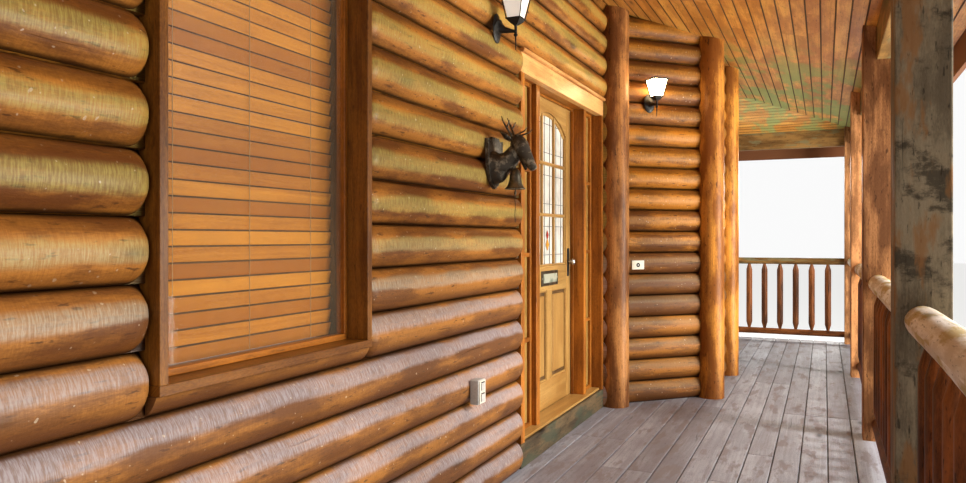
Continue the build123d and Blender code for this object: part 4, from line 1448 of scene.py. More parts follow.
@dataclass
class DoorUnit:
    """Door, sidelights and the frame round them, in the front wall's frame."""

    to_post: float = 0.095
    jamb_left: float = 0.055
    left_light: float = 0.32
    mullion: float = 0.06
    gap: float = 0.005
    leaf: float = 0.91
    height: float = 2.056
    thick: float = 0.044
    right_light: float = 0.24
    jamb_right: float = 0.045
    proud: float = 0.03
    head: float = 0.112
    cap: float = 0.022
    cap_proud: float = 0.02
    step: float = 0.14
    threshold: float = 0.016
    recess: float = 0.05
    leaf_in: float = 0.15
    stop: float = 0.012
    stop_deep: float = 0.018
    light_sash: float = 0.03
    light_bar: float = 0.012
    light_lites: int = 4
    stile: float = 0.102
    bar: float = 0.022
    bead: float = 0.014
    rail_low: float = 0.78
    rail_high: float = 0.94
    bottom_rail: float = 0.18
    arch_rise: float = 0.12
    top_rail: float = 0.086
    panel_depth: float = 0.012
    panel_field: float = 0.035
    panel_raise: float = 0.008
    knob_level: float = 0.96
    knob_in: float = 0.055
    keyhole_below: float = 0.072
    moulding: float = 0.012
    moulding_in: float = 0.002
    bar_in: float = 0.004
    arch_bead: float = 0.013
    arch_bead_in: float = 0.008
    light_deep: float = 0.02
    screw_run: float = 0.150

    def __post_init__(self) -> None:
        """Work out where the frame, the leaf and its glass stand."""
        sides = self.jamb_left + self.left_light + self.right_light + self.jamb_right
        self.x0 = FRONT.length - self.to_post - sides - 2 * (self.mullion + self.gap) - self.leaf
        left = self.x0 + self.jamb_left + self.left_light + self.mullion + self.gap
        self.leaf_x = left, left + self.leaf
        self.middle = (left + left + self.leaf) / 2
        self.x1 = self.leaf_x[1] + self.gap + self.mullion + self.right_light + self.jamb_right
        self.front = self.proud - PLAN.bulge
        self.leaf_y = self.front + self.leaf_in
        self.leaf_back = self.leaf_y + self.thick
        self.sill = PLAN.deck + self.step + self.threshold
        self.leaf_z = self.sill + self.gap, self.sill + self.gap + self.height
        self.glass_low, self.glass_top = self.leaf_z[0] + self.rail_high, self.leaf_z[1] - self.top_rail
        self.half_glass = self.leaf / 2 - self.stile

    def build_frame(self) -> None:
        """Jambs, mullions, head, stops, threshold, sidelights' sashes, head board, cap and step."""
        cap_top = PLAN.level(PLAN.head_course)
        head_z = cap_top - self.cap
        low_head = head_z - self.head
        top, back, front = self.leaf_z[1] + self.gap, self.leaf_back, self.front + self.recess
        left, right = self.leaf_x[0] - self.gap, self.leaf_x[1] + self.gap
        light0, light1 = self.x0 + self.jamb_left, self.x1 - self.jamb_right
        base = PLAN.deck + self.step + HAIR
        piece = Piece("door_frame_boards", replaces=("door_frame",), at=FRONT.matrix)
        put = piece.board
        for x0, x1 in ((self.x0, light0), (light1, self.x1)):
            put((x0 + HAIR, self.front, base), (x1 - HAIR, back, low_head), JAMBS, Axis.Z)
        for x0, x1 in ((left - self.mullion, left), (right, right + self.mullion)):
            put((x0, front, self.sill), (x1, back, top), JAMBS, Axis.Z)
        put((self.x0 + 0.001, front, top), (self.x1 - 0.001, back, head_z), JAMBS, Axis.X)
        put((light0, self.front + self.cap_proud, base), (light1, back, self.sill), DOOR, Axis.X)
        y0, y1, high = self.leaf_y - self.gap - self.stop_deep, self.leaf_y - self.gap, top - self.stop
        put((left, y0, self.sill), (left + self.stop, y1, high), JAMBS, Axis.Z)
        put((right - self.stop, y0, self.sill), (right, y1, high), JAMBS, Axis.Z)
        put((left, y0, high), (right, y1, top), JAMBS, Axis.X)
        y = (front + self.leaf_y) / 2
        wide, bar = self.light_sash, self.light_bar
        for x0, x1 in ((light0, left - self.mullion), (right + self.mullion, light1)):
            for a, b in ((x0, x0 + wide), (x1 - wide, x1)):
                put((a, y - self.light_deep, self.sill), (b, y - HAIR, top), JAMBS, Axis.Z)
            for k in range(self.light_lites + 1):
                z = self.sill + bar + (top - self.sill - 2 * bar) * k / self.light_lites
                put((x0 + wide, y - 0.018, z - bar), (x1 - wide, y - HAIR, z + bar), JAMBS, Axis.X)
        piece.done()
        for name, node, finish, edge, y0, y1, z0, z1 in (
            (
                "door_head_plank", "door_head_board", HEAD_BOARD, 0.003,
                self.front, front - HAIR, low_head + HAIR, head_z,
            ),
            (
                "door_head_moulding", "door_head_cap", HEAD_BOARD, 0.006,
                self.front - self.cap_proud, PLAN.back, head_z + HAIR, cap_top - HAIR,
            ),
            (
                "door_step_timber", "door_step", STEP, 0.007,
                self.front, PLAN.back, PLAN.deck + HAIR, PLAN.deck + self.step,
            ),
        ):
            board = Piece(name, replaces=(node,), at=FRONT.matrix)
            board.board((self.x0 + HAIR, y0, z0), (self.x1 - HAIR, y1, z1), finish, Axis.X, edge)
            board.done()

    def arch_level(self, x: float, inset: float = 0.0) -> float:
        """Height of the arch, drawn in by a distance, at a distance from the leaf's middle.

        Args:
            x: distance from the leaf's middle.
            inset: how far the arch is drawn in.

        Returns:
            The level.
        """
        half, rise = self.half_glass - inset, self.arch_rise
        radius = (half * half + rise * rise) / (2 * rise)
        return self.glass_top - inset - radius + math.sqrt(max(radius * radius - min(abs(x), half) ** 2, 0.0))

    def head_rail(self) -> Mesh:
        """The top rail with its arched underside.

        Returns:
            The rail.
        """
        shape = empty()
        bmesh.ops.create_grid(shape, x_segments=24, y_segments=1, size=0.5)
        for vert in shape.verts:
            x = vert.co.x * 2 * self.half_glass
            z = self.leaf_z[1] if vert.co.y > 0 else self.arch_level(x)
            vert.co = Vector((self.middle + x, self.leaf_y, z))
        extrude(shape, shape.faces[:], (0, self.thick, 0))
        return shape

    def build_leaf(self) -> None:
        """Stiles, rails, panels, arched glazing bars and mouldings of the leaf."""
        leaf = Piece("door_leaf_joinery", body="door", replaces=("door_leaf",), smooth=35, at=FRONT.matrix)
        (x0, x1), (z0, z1), s, middle = self.leaf_x, self.leaf_z, self.stile, self.middle
        y0, y1 = self.leaf_y, self.leaf_back
        low, high = z0 + self.bottom_rail, z0 + self.rail_low
        for a, b, c, d, axis, tone in (
            (x0, x0 + s, z0, z1, Axis.Z, 0.6),
            (x1 - s, x1, z0, z1, Axis.Z, 0.5),
            (x0 + s, x1 - s, z0, low, Axis.X, None),
            (x0 + s, x1 - s, high, z0 + self.rail_high, Axis.X, None),
            (middle - s / 2, middle + s / 2, low, high, Axis.Z, 0.9),
        ):
            leaf.board((a, y0, c), (b, y1, d), DOOR, axis, 0.0015, tone)
        leaf.add(self.head_rail(), DOOR, None, Axis.X, 0.4)
        sunk, field = self.panel_depth, self.panel_field
        for a, b in ((x0 + s, middle - s / 2), (middle + s / 2, x1 - s)):
            leaf.board((a, y0 + sunk, low), (b, y1 - sunk, high), PANEL, Axis.Z, 0.0, 0.1)
            raised = sunk - self.panel_raise
            panel = block((a + field, y0 + raised, low + field), (b - field, y1 - raised, high - field))
            bevel(panel, panel.edges[:], 0.006, 1)
            leaf.add(panel, DOOR, None, Axis.Z, 0.2)
            m, inset = self.moulding, self.moulding_in
            for p0, p1, q0, q1, axis in (
                (a, b, low, low + m, Axis.X), (a, b, high - m, high, Axis.X),
                (a, a + m, low + m, high - m, Axis.Z), (b - m, b, low + m, high - m, Axis.Z),
            ):
                leaf.board((p0, y0 + inset, q0), (p1, y1 - inset, q1), DOOR, axis, 0.004, 0.7)
        self.glazing_bars(leaf)
        leaf.done()

    def glazing_bars(self, leaf: Piece) -> None:
        """The beads round the glass and the bars between its three by three lites.

        Args:
            leaf: the piece that they go into.
        """
        half, low, bead, middle = self.half_glass, self.glass_low, self.bead, self.middle
        a, b = self.leaf_y + self.bar_in, self.leaf_back - self.bar_in
        side_top = self.arch_level(half)
        for x0, x1, z1, axis in (
            (middle - half, middle - half + bead, side_top, Axis.Z),
            (middle + half - bead, middle + half, side_top, Axis.Z),
            (middle - half + bead, middle + half - bead, low + bead, Axis.X),
        ):
            leaf.board((x0, a, low), (x1, b, z1), DOOR, axis, 0.004, 0.8)
        across = [half * (k / 6 - 1) * 0.985 for k in range(13)]
        arch_bead = [(middle + x, (a + b) / 2, self.arch_level(x, self.arch_bead_in)) for x in across]
        leaf.add(tube(arch_bead, [self.arch_bead] * len(across), 8, 1.2), DOOR, None, Axis.X, 0.95)
        third, bar = 2 * half / 3, self.bar / 2
        high = self.arch_level(third / 2, 0.004)
        for x in (middle - third / 2, middle + third / 2):
            leaf.board((x - bar, a, low + bead), (x + bar, b, high), DOOR, Axis.Z, 0.005, 0.5)
        inner = half - bead
        for k in (1, 2):
            z = low + (self.glass_top - low) / 3 * k
            corner = (middle + inner, b + 0.001, z + bar)
            leaf.board((middle - inner, a - 0.001, z - bar), corner, DOOR, Axis.X, 0.005, 0.9)

    def build_glass(self) -> None:
        """The leads of the door's obscured glass, with two small coloured gems."""
        y, low, middle = (self.leaf_y + self.leaf_back) / 2, self.glass_low, self.middle
        width, lite = 2 * self.half_glass / 3, (self.glass_top - low) / 3
        lead = Piece("door_glass_leading", body="door", at=FRONT.matrix)
        for column in range(3):
            cx = middle + (column - 1) * width
            x0, x1 = cx - width / 2 + 0.01, cx + width / 2 - 0.01
            for row in range(3):
                cz = low + (row + 0.5) * lite
                for z in (cz - lite * 0.28, cz + lite * 0.28):
                    lead.board((x0, y - 0.006, z - 0.002), (x1, y - 0.0028, z + 0.002), LEAD, Axis.X, 0.0008)
                for x in (cx - width * 0.22, cx + width * 0.22):
                    high = min(cz + lite / 2, self.arch_level(x - middle, 0.01))
                    corner = (x + 0.0022, y - 0.0028, high)
                    lead.board((x - 0.0022, y - 0.0062, cz - lite / 2), corner, LEAD, Axis.Z, 0.0008)
        for finish, size, up in ((RED_GLASS, 0.016, 0.066), (AMBER_GLASS, 0.021, 0.0)):
            gem = block((-size, -0.0015, -size), (size, 0.0015, size))
            bevel(gem, gem.edges[:], 0.001)
            place = move(middle, y - 0.0085, low + lite * 0.42 + up) @ Matrix.Scale(1.35, 4, (0, 0, 1))
            lead.add(gem, finish, FRONT.matrix @ place @ turn_about("Y", 45), Axis.X)
        lead.done()

    def build_fittings(self) -> None:
        """Knobs on their plates, and the letter plate."""
        y = self.leaf_y - HAIR
        knobs = Piece("door_knob_sets", body="door", replaces=("door_knobs",), smooth=40)
        outward = turn_about("X", 90)
        for face, about in ((y, 0), (self.leaf_back + HAIR, 180)):
            place = FRONT.matrix @ move(self.leaf_x[1] - self.knob_in, face, self.leaf_z[0] + self.knob_level)
            if about:
                place = place @ turn_about("Z", about)
            plate = block((-0.024, -0.004, -0.105), (0.024, 0.0, 0.095))
            bevel(plate, [e for e in plate.edges if abs(e.verts[0].co.y - e.verts[1].co.y) > 0.001], 0.012, 4)
            bevel(plate, edges_before(plate, -0.0035), 0.0012)
            knobs.add(plate, BLACK_IRON, place, Axis.Z)
            for profile, steps, finish, down in (
                (KNOB, 28, CHROME, 0.0),
                (KNOB_ROSE, 24, BLACK_IRON, 0.0),
                (KEYHOLE, 16, CHROME, self.keyhole_below),
            ):
                knobs.add(turned(profile, steps), finish, place @ move(z=-down) @ outward, Axis.Z)
        knobs.done()
        plate = Piece(
            "letter_plate_flap", body="door", replaces=("letter_plate",), smooth=35, at=FRONT.matrix
        )
        cz, middle = self.leaf_z[0] + (self.rail_low + self.rail_high) / 2, self.middle
        for half_x, half_z, front, back, finish in LETTER_LAYERS:
            shape = block((middle - half_x, y - front, cz - half_z), (middle + half_x, y - back, cz + half_z))
            bevel(shape, edges_before(shape, y - front + 0.0001), 0.0022, 3)
            plate.add(shape, finish, None, Axis.X)
        for side in (-1, 1):
            at = move(middle + side * self.screw_run, y - 0.0048, cz) @ outward
            plate.add(turned(SCREW, 12), NICKEL, FRONT.matrix @ at, Axis.X)
        plate.done()

    def build(self) -> None:
        """Build the door unit."""
        self.build_frame()
        self.build_leaf()
        self.build_glass()
        self.build_fittings()


@dataclass
class Floor:
    """Deck boards along the porch, with the plan of the walls cut out."""

    board: float = 0.14
    gap: float = 0.006
    thick: float = 0.038
    gap_depth: float = 0.012
    lip: float = 0.055
    inset: float = 0.010
    ease: float = 0.004
    lengths: tuple[float, ...] = (2.4, 3.0, 3.6, 4.2)
    shortest: float = 0.6

    def build(self) -> None:
        """Lay the boards."""
        edge = PLAN.post / 2 + self.lip
        x0, x1 = PLAN.posts_x[0] - edge, PLAN.posts_x[-1] + edge
        bay_back = BAY_AT[1] + BAY_SET_BACK + self.inset
        wall_end = END_AT[0] - BAY_SET_BACK - self.inset
        deck = Piece("deck_planks", replaces=("deck_front", "deck_entrance", "deck_end"))
        y = PLAN.post_y - edge
        while y < PLAN.back_y - 0.01:
            top = min(y + self.board, PLAN.back_y)
            for start, end in [(x0, x1)] if top <= bay_back else [(x0, wall_end), (wall_end, x1)]:
                self.row(deck, (start, end), (y, top), end < x1)
            y += self.board + self.gap
        deck.done()

    def lay(self, deck: Piece, shape: Mesh, finish: Finish, inner: bool, back: float) -> None:
        """Add a board, cut to the walls if it is on their side.

        Args:
            deck: the piece.
            shape: the board.
            finish: its finish.
            inner: whether it lies on the walls' side.
            back: the row's back edge.
        """
        if inner:
            cut(shape, (0, PLAN.wall_y + self.inset, 0), (0, 1, 0))
            if shape.faces and back > BAY_AT[1] + BAY_SET_BACK + self.inset:
                corner = DOOR_AT[0] + DOOR_AT[1] + (BAY_SET_BACK + self.inset) * math.sqrt(2)
                cut(shape, (corner, 0, 0), (1, 1, 0))
        if shape.faces:
            deck.add(shape, finish, None, Axis.X)

    def row(self, deck: Piece, run: tuple[float, float], sides: tuple[float, float], inner: bool) -> None:
        """One row of boards with butt joints at odd places, and a dark strip in the gap behind it, a painted
        shadow under the deck.

        Args:
            deck: the piece.
            run: its start and end.
            sides: its front and back.
            inner: whether it lies on the walls' side.
        """
        y0, y1 = sides
        joints = butt_joints(deck.rng, *run, self.lengths, self.shortest)
        for a, b in zip(joints, joints[1:]):
            shape = block((a + 0.001, y0, PLAN.deck - self.thick), (b - 0.001, y1, PLAN.deck))
            upper = [e for e in shape.edges if all(v.co.z > PLAN.deck - 0.001 for v in e.verts)]
            bevel(shape, upper, self.ease, 2)
            self.lay(deck, shape, DECKING, inner, y1)
        # A dark strip of the step's finish down in the gap: a painted shadow under the deck
        far = (run[1], min(y1 + self.gap, PLAN.back_y), PLAN.deck - self.gap_depth)
        self.lay(deck, block((run[0], y1, PLAN.deck - self.thick), far), STEP, inner, y1)


@dataclass
class Ceiling:
    """Grooved boards under the two slopes of the roof."""

    pitch: float = 0.087
    thick: float = 0.020
    groove: float = 0.005
    lengths: tuple[float, ...] = (2.4, 3.0, 3.6, 4.8)
    shortest: float = 0.5

    def slope(self, name: str, node: str, lengthwise: Axis) -> None:
        """Boards of one slope.

        Args:
            name: the piece's name.
            node: the solid that it replaces.
            lengthwise: the axis that its boards follow.
        """
        low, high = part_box(node)
        along_x = lengthwise is Axis.X
        a, b = lengthwise.value, 1 - lengthwise.value
        away, step = (1, self.pitch) if along_x else (-1, -self.pitch)
        eave_side = low[1] if along_x else high[0]
        piece = Piece(name, replaces=(node,))
        for i in range(int((high[b] - low[b]) / self.pitch) + 1):
            e0, e1 = eave_side + step * i, eave_side + step * (i + 1)
            w0, w1 = max(min(e0, e1), low[b]), min(max(e0, e1), high[b])
            if w1 - w0 < 0.01:
                continue
            joints = butt_joints(piece.rng, low[a], high[a], self.lengths, self.shortest)
            for p, q in zip(joints, joints[1:]):
                corner0, corner1 = [0.0, 0.0, 0.0], [0.0, 0.0, self.thick]
                corner0[a], corner1[a], corner0[b], corner1[b] = p + 0.0004, q - 0.0004, w0, w1
                shape = block(corner0, corner1)
                under = [e for e in shape.edges if all(v.co.z < 0.001 for v in e.verts)]
                edges = [e for e in under if abs(e.verts[0].co[b] - e.verts[1].co[b]) < 0.001]
                bevel(shape, edges, self.groove, 1)
                cut(shape, (PLAN.far_x, PLAN.front_y, 0), (away, away, 0))
                if not shape.faces:
                    continue
                for face in shape.faces:
                    face.tag = 0.1 < abs(face.normal[b]) < 0.95 and face.normal.z < -0.3
                for vert in shape.verts:
                    run = vert.co.y - PLAN.post_y if along_x else PLAN.posts_x[-1] - vert.co.x
                    vert.co.z += PLAN.ceiling_at_posts + PLAN.slope * run
                piece.add(shape, CEILING, None, lengthwise, tagged=DARK_JOINTS_AND_SHADOW)
        piece.done()

    def build(self) -> None:
        """Both slopes."""
        self.slope("front_ceiling_boards", "ceiling_front", Axis.X)
        self.slope("end_ceiling_boards", "ceiling_end", Axis.Y)


@dataclass
class PostsAndBeams:
    """Square posts and the beams in their notches."""

    weathered: int = 2
    riser: float = 0.9
    spare: float = 0.1

    def post(self, piece: Piece, x: float, y: float, open_x: bool, open_y: bool, finish: Finish) -> None:
        """A square post whose inner part runs up past the beam.

        Args:
            piece: the piece.
            x: its centre along the porch.
            y: its centre across it.
            open_x: whether it is notched for the end beam.
            open_y: whether it is notched for the front beam.
            finish: its finish.
        """
        half = PLAN.post / 2
        shape = block((x - half, y - half, PLAN.deck), (x + half, y + half, PLAN.deck + PLAN.beam_bottom))
        inner_x, inner_y = x + half - PLAN.beam, y - half + PLAN.beam
        cuts = ((open_y, (0, inner_y, 0), (0, 1, 0)), (open_x, (inner_x, 0, 0), (1, 0, 0)))
        for wanted, at, normal in cuts:
            if wanted:
                geometry = [*shape.verts, *shape.edges, *shape.faces]
                bmesh.ops.bisect_plane(shape, geom=geometry, plane_co=at, plane_no=normal)
        tops = []
        for face in shape.faces:
            middle = face.calc_center_median()
            inside = (not open_y or middle.y > inner_y) and (not open_x or middle.x < inner_x)
            if face.normal.z > 0.9 and inside:
                tops.append(face)
        extrude(shape, tops, (0, 0, self.riser), kept=False)
        sharp = [e for e in shape.edges if e.calc_face_angle(0) > 1.0]
        bevel(shape, [e for e in sharp if abs(e.verts[0].co.z - e.verts[1].co.z) > 0.3], PLAN.ease, 2)
        PLAN.cut_to_ceiling(shape)
        piece.add(shape, finish, None, Axis.Z)

    def build(self) -> None:
        """Build the posts and the beams."""
        piece = Piece("square_posts", replaces=("porch_posts",))
        xs = PLAN.posts_x
        for i, x in enumerate(xs[:-1]):
            self.post(piece, x, PLAN.post_y, False, True, OLD_POST if i < self.weathered else POSTS)
        self.post(piece, xs[-1], PLAN.post_y, True, True, POSTS)
        self.post(piece, xs[-1], PLAN.post_y + PLAN.bay, True, False, POSTS)
        piece.done()
        for node, axis in (("front_beam", Axis.X), ("end_beam", Axis.Y)):
            low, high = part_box(node)
            beam = Piece(f"{node}_timber", replaces=(node,))
            shape = block(low, (high[0], high[1], high[2] + self.spare))
            bevel(shape, shape.edges[:], PLAN.ease, 2)
            PLAN.cut_to_ceiling(shape)
            beam.add(shape, BEAMS, None, axis)
            beam.done()


@dataclass
class Railings:
    """Peeled log rails with pointed balusters."""

    pitch: float = 0.19
    baluster: float = 0.038
    bottom: float = 0.04
    bottom_level: float = 0.11
    top: float = 0.06
    end_top: float = 0.043
    top_level: float = 1.0
    tip: float = 0.014
    point: float = 0.085
    cone_steps: tuple[float, ...] = (0.0, 0.3, 0.65, 0.92, 1.0, 1.12)
    spacing: float = 0.09
    sunk: float = 0.012
    wander: float = 0.004
    mean: float = 0.955
    swell: float = 0.035
    lumps: float = 0.022

    def round_log(
        self, piece: Piece, length: float, radius: float, place: Matrix, finish: Finish, pointed: bool
    ) -> None:
        """A peeled round log along +X from 0.

        Args:
            piece: the piece that it goes into.
            length: its length.
            radius: its largest radius.
            place: where it starts.
            finish: its finish.
            pointed: whether its ends are cones.
        """
        seed = piece.rng.uniform(0, 90)
        if pointed:
            rows = [self.point * s for s in self.cone_steps] + [length * k / 10 for k in range(2, 9)]
            rows += [length - self.point * s for s in reversed(self.cone_steps)]
        else:
            count = int(length / self.spacing)
            rows = [length * k / count for k in range(count + 1)]

        def point(x: float, turn: float) -> Vector:
            """A point of the log's skin."""
            c, w = math.cos(math.tau * turn), math.sin(math.tau * turn)
            flow = noise.noise(Vector((c * 0.8, w * 0.8, x * 2.2 + seed)))
            lump = noise.noise(Vector((c * 1.8, w * 1.8, x * 11.0 + seed)))
            reach = radius * (self.mean + self.swell * flow + self.lumps * lump)
            drift = 0.0
            if pointed:
                share = min(min(x, length - x) / self.point, 1.0)
                cone = self.tip + (radius * 0.98 - self.tip) * share
                reach = min(reach, cone + (radius * 0.02 if share > 0.98 else 0.0))
            else:
                drift = noise.noise(Vector((seed, x * 0.9, 3.0))) * self.wander
            return Vector((x, reach * c + drift, reach * w))

        sides = 16 if finish is BALUSTERS else 20
        shape = skin(rows, sides, point, math.tau * radius)
        shift_grain(shape, Vector((piece.rng.uniform(0, 50), piece.rng.uniform(0, 50))))
        piece.add(shape, finish, place)

    def panel(self, name: str, node: str, place: Matrix, top: float, finish: Finish) -> None:
        """One panel, from the middle of its left post's face along +X.

        Args:
            name: the piece's name.
            node: the solid that it replaces.
            place: its frame.
            top: the top rail's radius.
            finish: the top rail's finish.
        """
        piece = Piece(name, replaces=(node,), smooth=50)
        length = PLAN.bay - PLAN.post
        self.round_log(piece, length, top, place @ move(z=self.top_level), finish, False)
        self.round_log(piece, length, self.bottom, place @ move(z=self.bottom_level), BALUSTERS, False)
        count = int(length // self.pitch)
        low, high = self.bottom_level + self.bottom - self.sunk, self.top_level - top + self.sunk
        for i in range(1, count + 1):
            at = place @ (move(length * i / (count + 1), 0, low) @ turn_about("Y", -90))
            self.round_log(piece, high - low, self.baluster, at, BALUSTERS, True)
        piece.done()

    def build(self) -> None:
        """All the panels."""
        half = PLAN.post / 2
        for i in range(PLAN.bays):
            place = move(PLAN.posts_x[i] + half, PLAN.post_y, PLAN.deck)
            self.panel(f"front_rail_logs_{i + 1}", f"front_railing_{i + 1}", place, self.top, TOP_RAILS)
        place = move(PLAN.posts_x[-1], PLAN.post_y + half, PLAN.deck) @ turn_about("Z", 90)
        self.panel("end_rail_logs", "end_railing", place, self.end_top, BEAMS)


def frustum(
    half0: float, half1: float, z0: float, z1: float, edge: float = 0.0, steps: int = 2
) -> Mesh:
    """A square frustum about the middle.

    Args:
        half0: half its width at the bottom.
        half1: half its width at the top.
        z0: level of the bottom.
        z1: level of the top.
        edge: width of its rounded edges, or 0 for sharp ones.
        steps: faces across a rounded edge.

    Returns:
        The closed frustum.
    """
    shape = block((-1, -1, z0), (1, 1, z1))
    for vert in shape.verts:
        half = half0 if vert.co.z < (z0 + z1) / 2 else half1
        vert.co.x *= half
        vert.co.y *= half
    if edge:
        bevel(shape, shape.edges[:], edge, steps)
    return shape


@dataclass
class Lantern:
    """Black wall lantern with a tapered frosted glass, carried from below on a trumpet arm."""

    level: float = 2.345
    reach: float = 0.105
    low: float = 0.036
    high: float = 0.060
    glass_level: float = 0.038
    glass: float = 0.125
    bar: float = 0.006
    arm_level: float = -0.026
    finial_level: float = -0.118
    plate_width: float = 0.094
    plate_height: float = 0.150
    roof: float = 0.010
    tier: float = 0.010
    seat: float = 0.0006
    rod: float = 0.0029

    def build(self, prefix: str, wall: Wall, run: float, pane: Finish) -> None:
        """Build one lantern on a wall.

        Args:
            prefix: start of its pieces' and nodes' names.
            wall: the wall that carries it.
            run: its place along the wall.
            pane: the finish of its glass.
        """
        at = wall.matrix @ move(run, -PLAN.bulge, PLAN.deck + self.level)
        body = at @ move(y=-self.reach)
        metal = Piece(f"{prefix}_lantern_iron", replaces=(f"{prefix}_lantern",), smooth=32, at=body)
        oval = Matrix.Diagonal((self.plate_width / 2, self.plate_height / 2, 1.0, 1.0))
        plate = at @ (move(y=-0.0005) @ turn_about("X", 90)) @ oval
        metal.add(turned(LANTERN_ROSE, 40), BLACK_IRON, plate, Axis.Z)
        arm = [
            (0, -0.011, 0), (0, -0.026, -0.005), (0, -0.046, -0.012), (0, -0.078, -0.020),
            (0, -self.reach, self.arm_level),
        ]
        metal.add(tube(arm, [0.044, 0.026, 0.0165, 0.0105, 0.0065], 18), BLACK_IRON, at, Axis.Z)
        low, high, a = self.glass_level, self.glass_level + self.glass, self.arm_level
        stem = [
            (0, self.finial_level), (0.0022, self.finial_level), (0.0034, a - 0.040), (0.0050, a - 0.038),
            (0.0034, a - 0.034), (0.0038, a - 0.026), (0.0105, a - 0.020), (0.0108, a - 0.016),
            (0.0065, a - 0.010), (0.0073, a), (0.0073, low - 0.03), (0, low - 0.03),
        ]
        tiers = (0.0088, 0.021, 0.030, self.low - 0.0004)
        base = low - 0.034
        rim, eave = self.low + self.bar - 0.0005, self.high + self.bar + 0.0025
        top = high + self.seat + self.roof - HAIR
        shapes = [turned(stem, 20)]
        for k in range(3):
            z = base + self.tier * k
            shapes.append(frustum(tiers[k], tiers[k + 1], z, z + self.tier))
        shapes += [
            frustum(rim, rim, low - 0.004, low - 0.0004, 0.001),
            frustum(eave, eave, high + self.seat, top, 0.0022, 3),
            frustum(eave - 0.0065, 0.0098, top, top + self.roof - 0.0002),
        ]
        for sx in (-1, 1):
            for sy in (-1, 1):
                foot = (sx * self.low, sy * self.low, low - 0.001)
                head = (sx * self.high, sy * self.high, high + 0.001)
                shapes.append(tube([foot, head], [self.rod, self.rod], 8))
        for shape in shapes:
            metal.add(shape, BLACK_IRON, None, Axis.Z)
        metal.done()
        glass = Piece(f"{prefix}_lantern_panes", replaces=(f"{prefix}_lantern_glass",), at=body)
        slack = self.bar / 2 + self.seat
        panes = frustum(self.low - slack, self.high - slack, low + 0.001, high - 0.0005, 0.002)
        glass.add(panes, pane, None, Axis.Z)
        glass.done()


@dataclass
class DeerBell:
    """Cast deer head on a shield, with a bell and its wire pull under the neck."""

    level: float = 1.66
    reach: float = 0.122
    bell_level: float = -0.131
    bell_height: float = 0.104
    bell_radius: float = 0.052
    hook: float = 0.0100
    half: float = 0.095
    top: float = 0.130
    thick: float = 0.0165
    border: float = 0.010
    eye: float = 0.0058
    wire: float = 0.0009

    def shield(self) -> Mesh:
        """The carved shield, with a sunk border.

        Returns:
            The shield.
        """
        half, top = self.half, self.top
        side = [
            (0.45, top), (0.62, top * 0.86), (1.0, top * 0.92), (0.97, 0.06), (0.94, 0.0), (0.86, -0.045),
            (0.7, -top * 0.62), (0.4, -top * 0.84),
        ]
        outline = [(half * x, z) for x, z in side] + [(0.0, -top)]
        outline += [(-half * x, z) for x, z in reversed(side)]
        shape = empty()
        face = shape.faces.new([shape.verts.new((x * 0.985, -0.0008, z * 0.985)) for x, z in outline])
        extrude(shape, [face], (0, -self.thick, 0))
        for thickness, depth in ((self.border, 0.0), (0.003, -0.003)):
            front = [f for f in shape.faces if f.normal.y < -0.9 and len(f.verts) > 8]
            bmesh.ops.inset_region(shape, faces=front, thickness=thickness, depth=depth)
        return shape

    def head(self, cast: Piece) -> None:
        """Neck, skull, jaw, ears, eyes and antlers.

        Args:
            cast: the piece that they go into.
        """
        for limb in (NECK, CHEST, SKULL, JAW):
            limb.cast(cast)
        for side in (-1, 1):
            for limb in (EAR, ANTLER, BACK_TINE, FRONT_TINE):
                limb.cast(cast, side)
            eye = empty()
            bmesh.ops.create_uvsphere(eye, u_segments=16, v_segments=8, radius=self.eye)
            cast.add(eye, BELL_METAL, cast.at @ move(side * 0.0345, -0.165, 0.074), Axis.Z)
            BROW.cast(cast, side)
            NOSTRIL.cast(cast, side)

    def build(self, run: float) -> None:
        """Build the head, the bell and the clapper.

        Args:
            run: place along the front wall.
        """
        at = FRONT.matrix @ move(run, -PLAN.bulge, PLAN.deck + self.level)
        cast = Piece("deer_head_casting", replaces=("deer_head",), smooth=50, at=at)
        cast.add(self.shield(), BRONZE, None, Axis.Z)
        self.head(cast)
        cast.done()
        hang = at @ move(0, -self.reach, self.bell_level)
        h, r = self.bell_height, self.bell_radius
        cup = [
            (0, h + self.hook), (0.0036, h + self.hook), (0.0036, h), (0.013, h - 0.003), (0.0225, h - 0.014),
            (0.026, h - 0.035), (0.0295, 0.048), (0.0345, 0.028), (0.043, 0.012), (r - 0.0005, 0.003),
            (r - 0.0005, 0.0004), (r - 0.0036, 0.0004), (0.030, 0.032), (0.0255, 0.05), (0.0205, h - 0.026),
            (0, h - 0.0245),
        ]
        bell = Piece("bell_cup", replaces=("bell",), smooth=40, at=hang)
        bell.add(turned(cup, 40), BELL_METAL, None, Axis.Z)
        bell.done()
        clapper = Piece("clapper_and_pull", replaces=("bell_clapper",), smooth=50, at=hang)
        drop = [
            (0, -0.027), (0.0036, -0.026), (0.0062, -0.020), (0.0055, -0.012), (0.0025, -0.006),
            (0.0022, h - 0.028), (0, h - 0.027),
        ]
        clapper.add(turned(drop, 16), BELL_METAL, None, Axis.Z)
        for s in (-1, 1):
            bows = ((0, -0.026), (0.008, -0.050), (0.001, -0.086), (0.009, -0.124), (0, -0.163))
            wire = [(s * out, 0, down) for out, down in bows]
            clapper.add(tube(wire, [self.wire] * 5, 6), BLACK_IRON, None, Axis.Z)
        clapper.done()


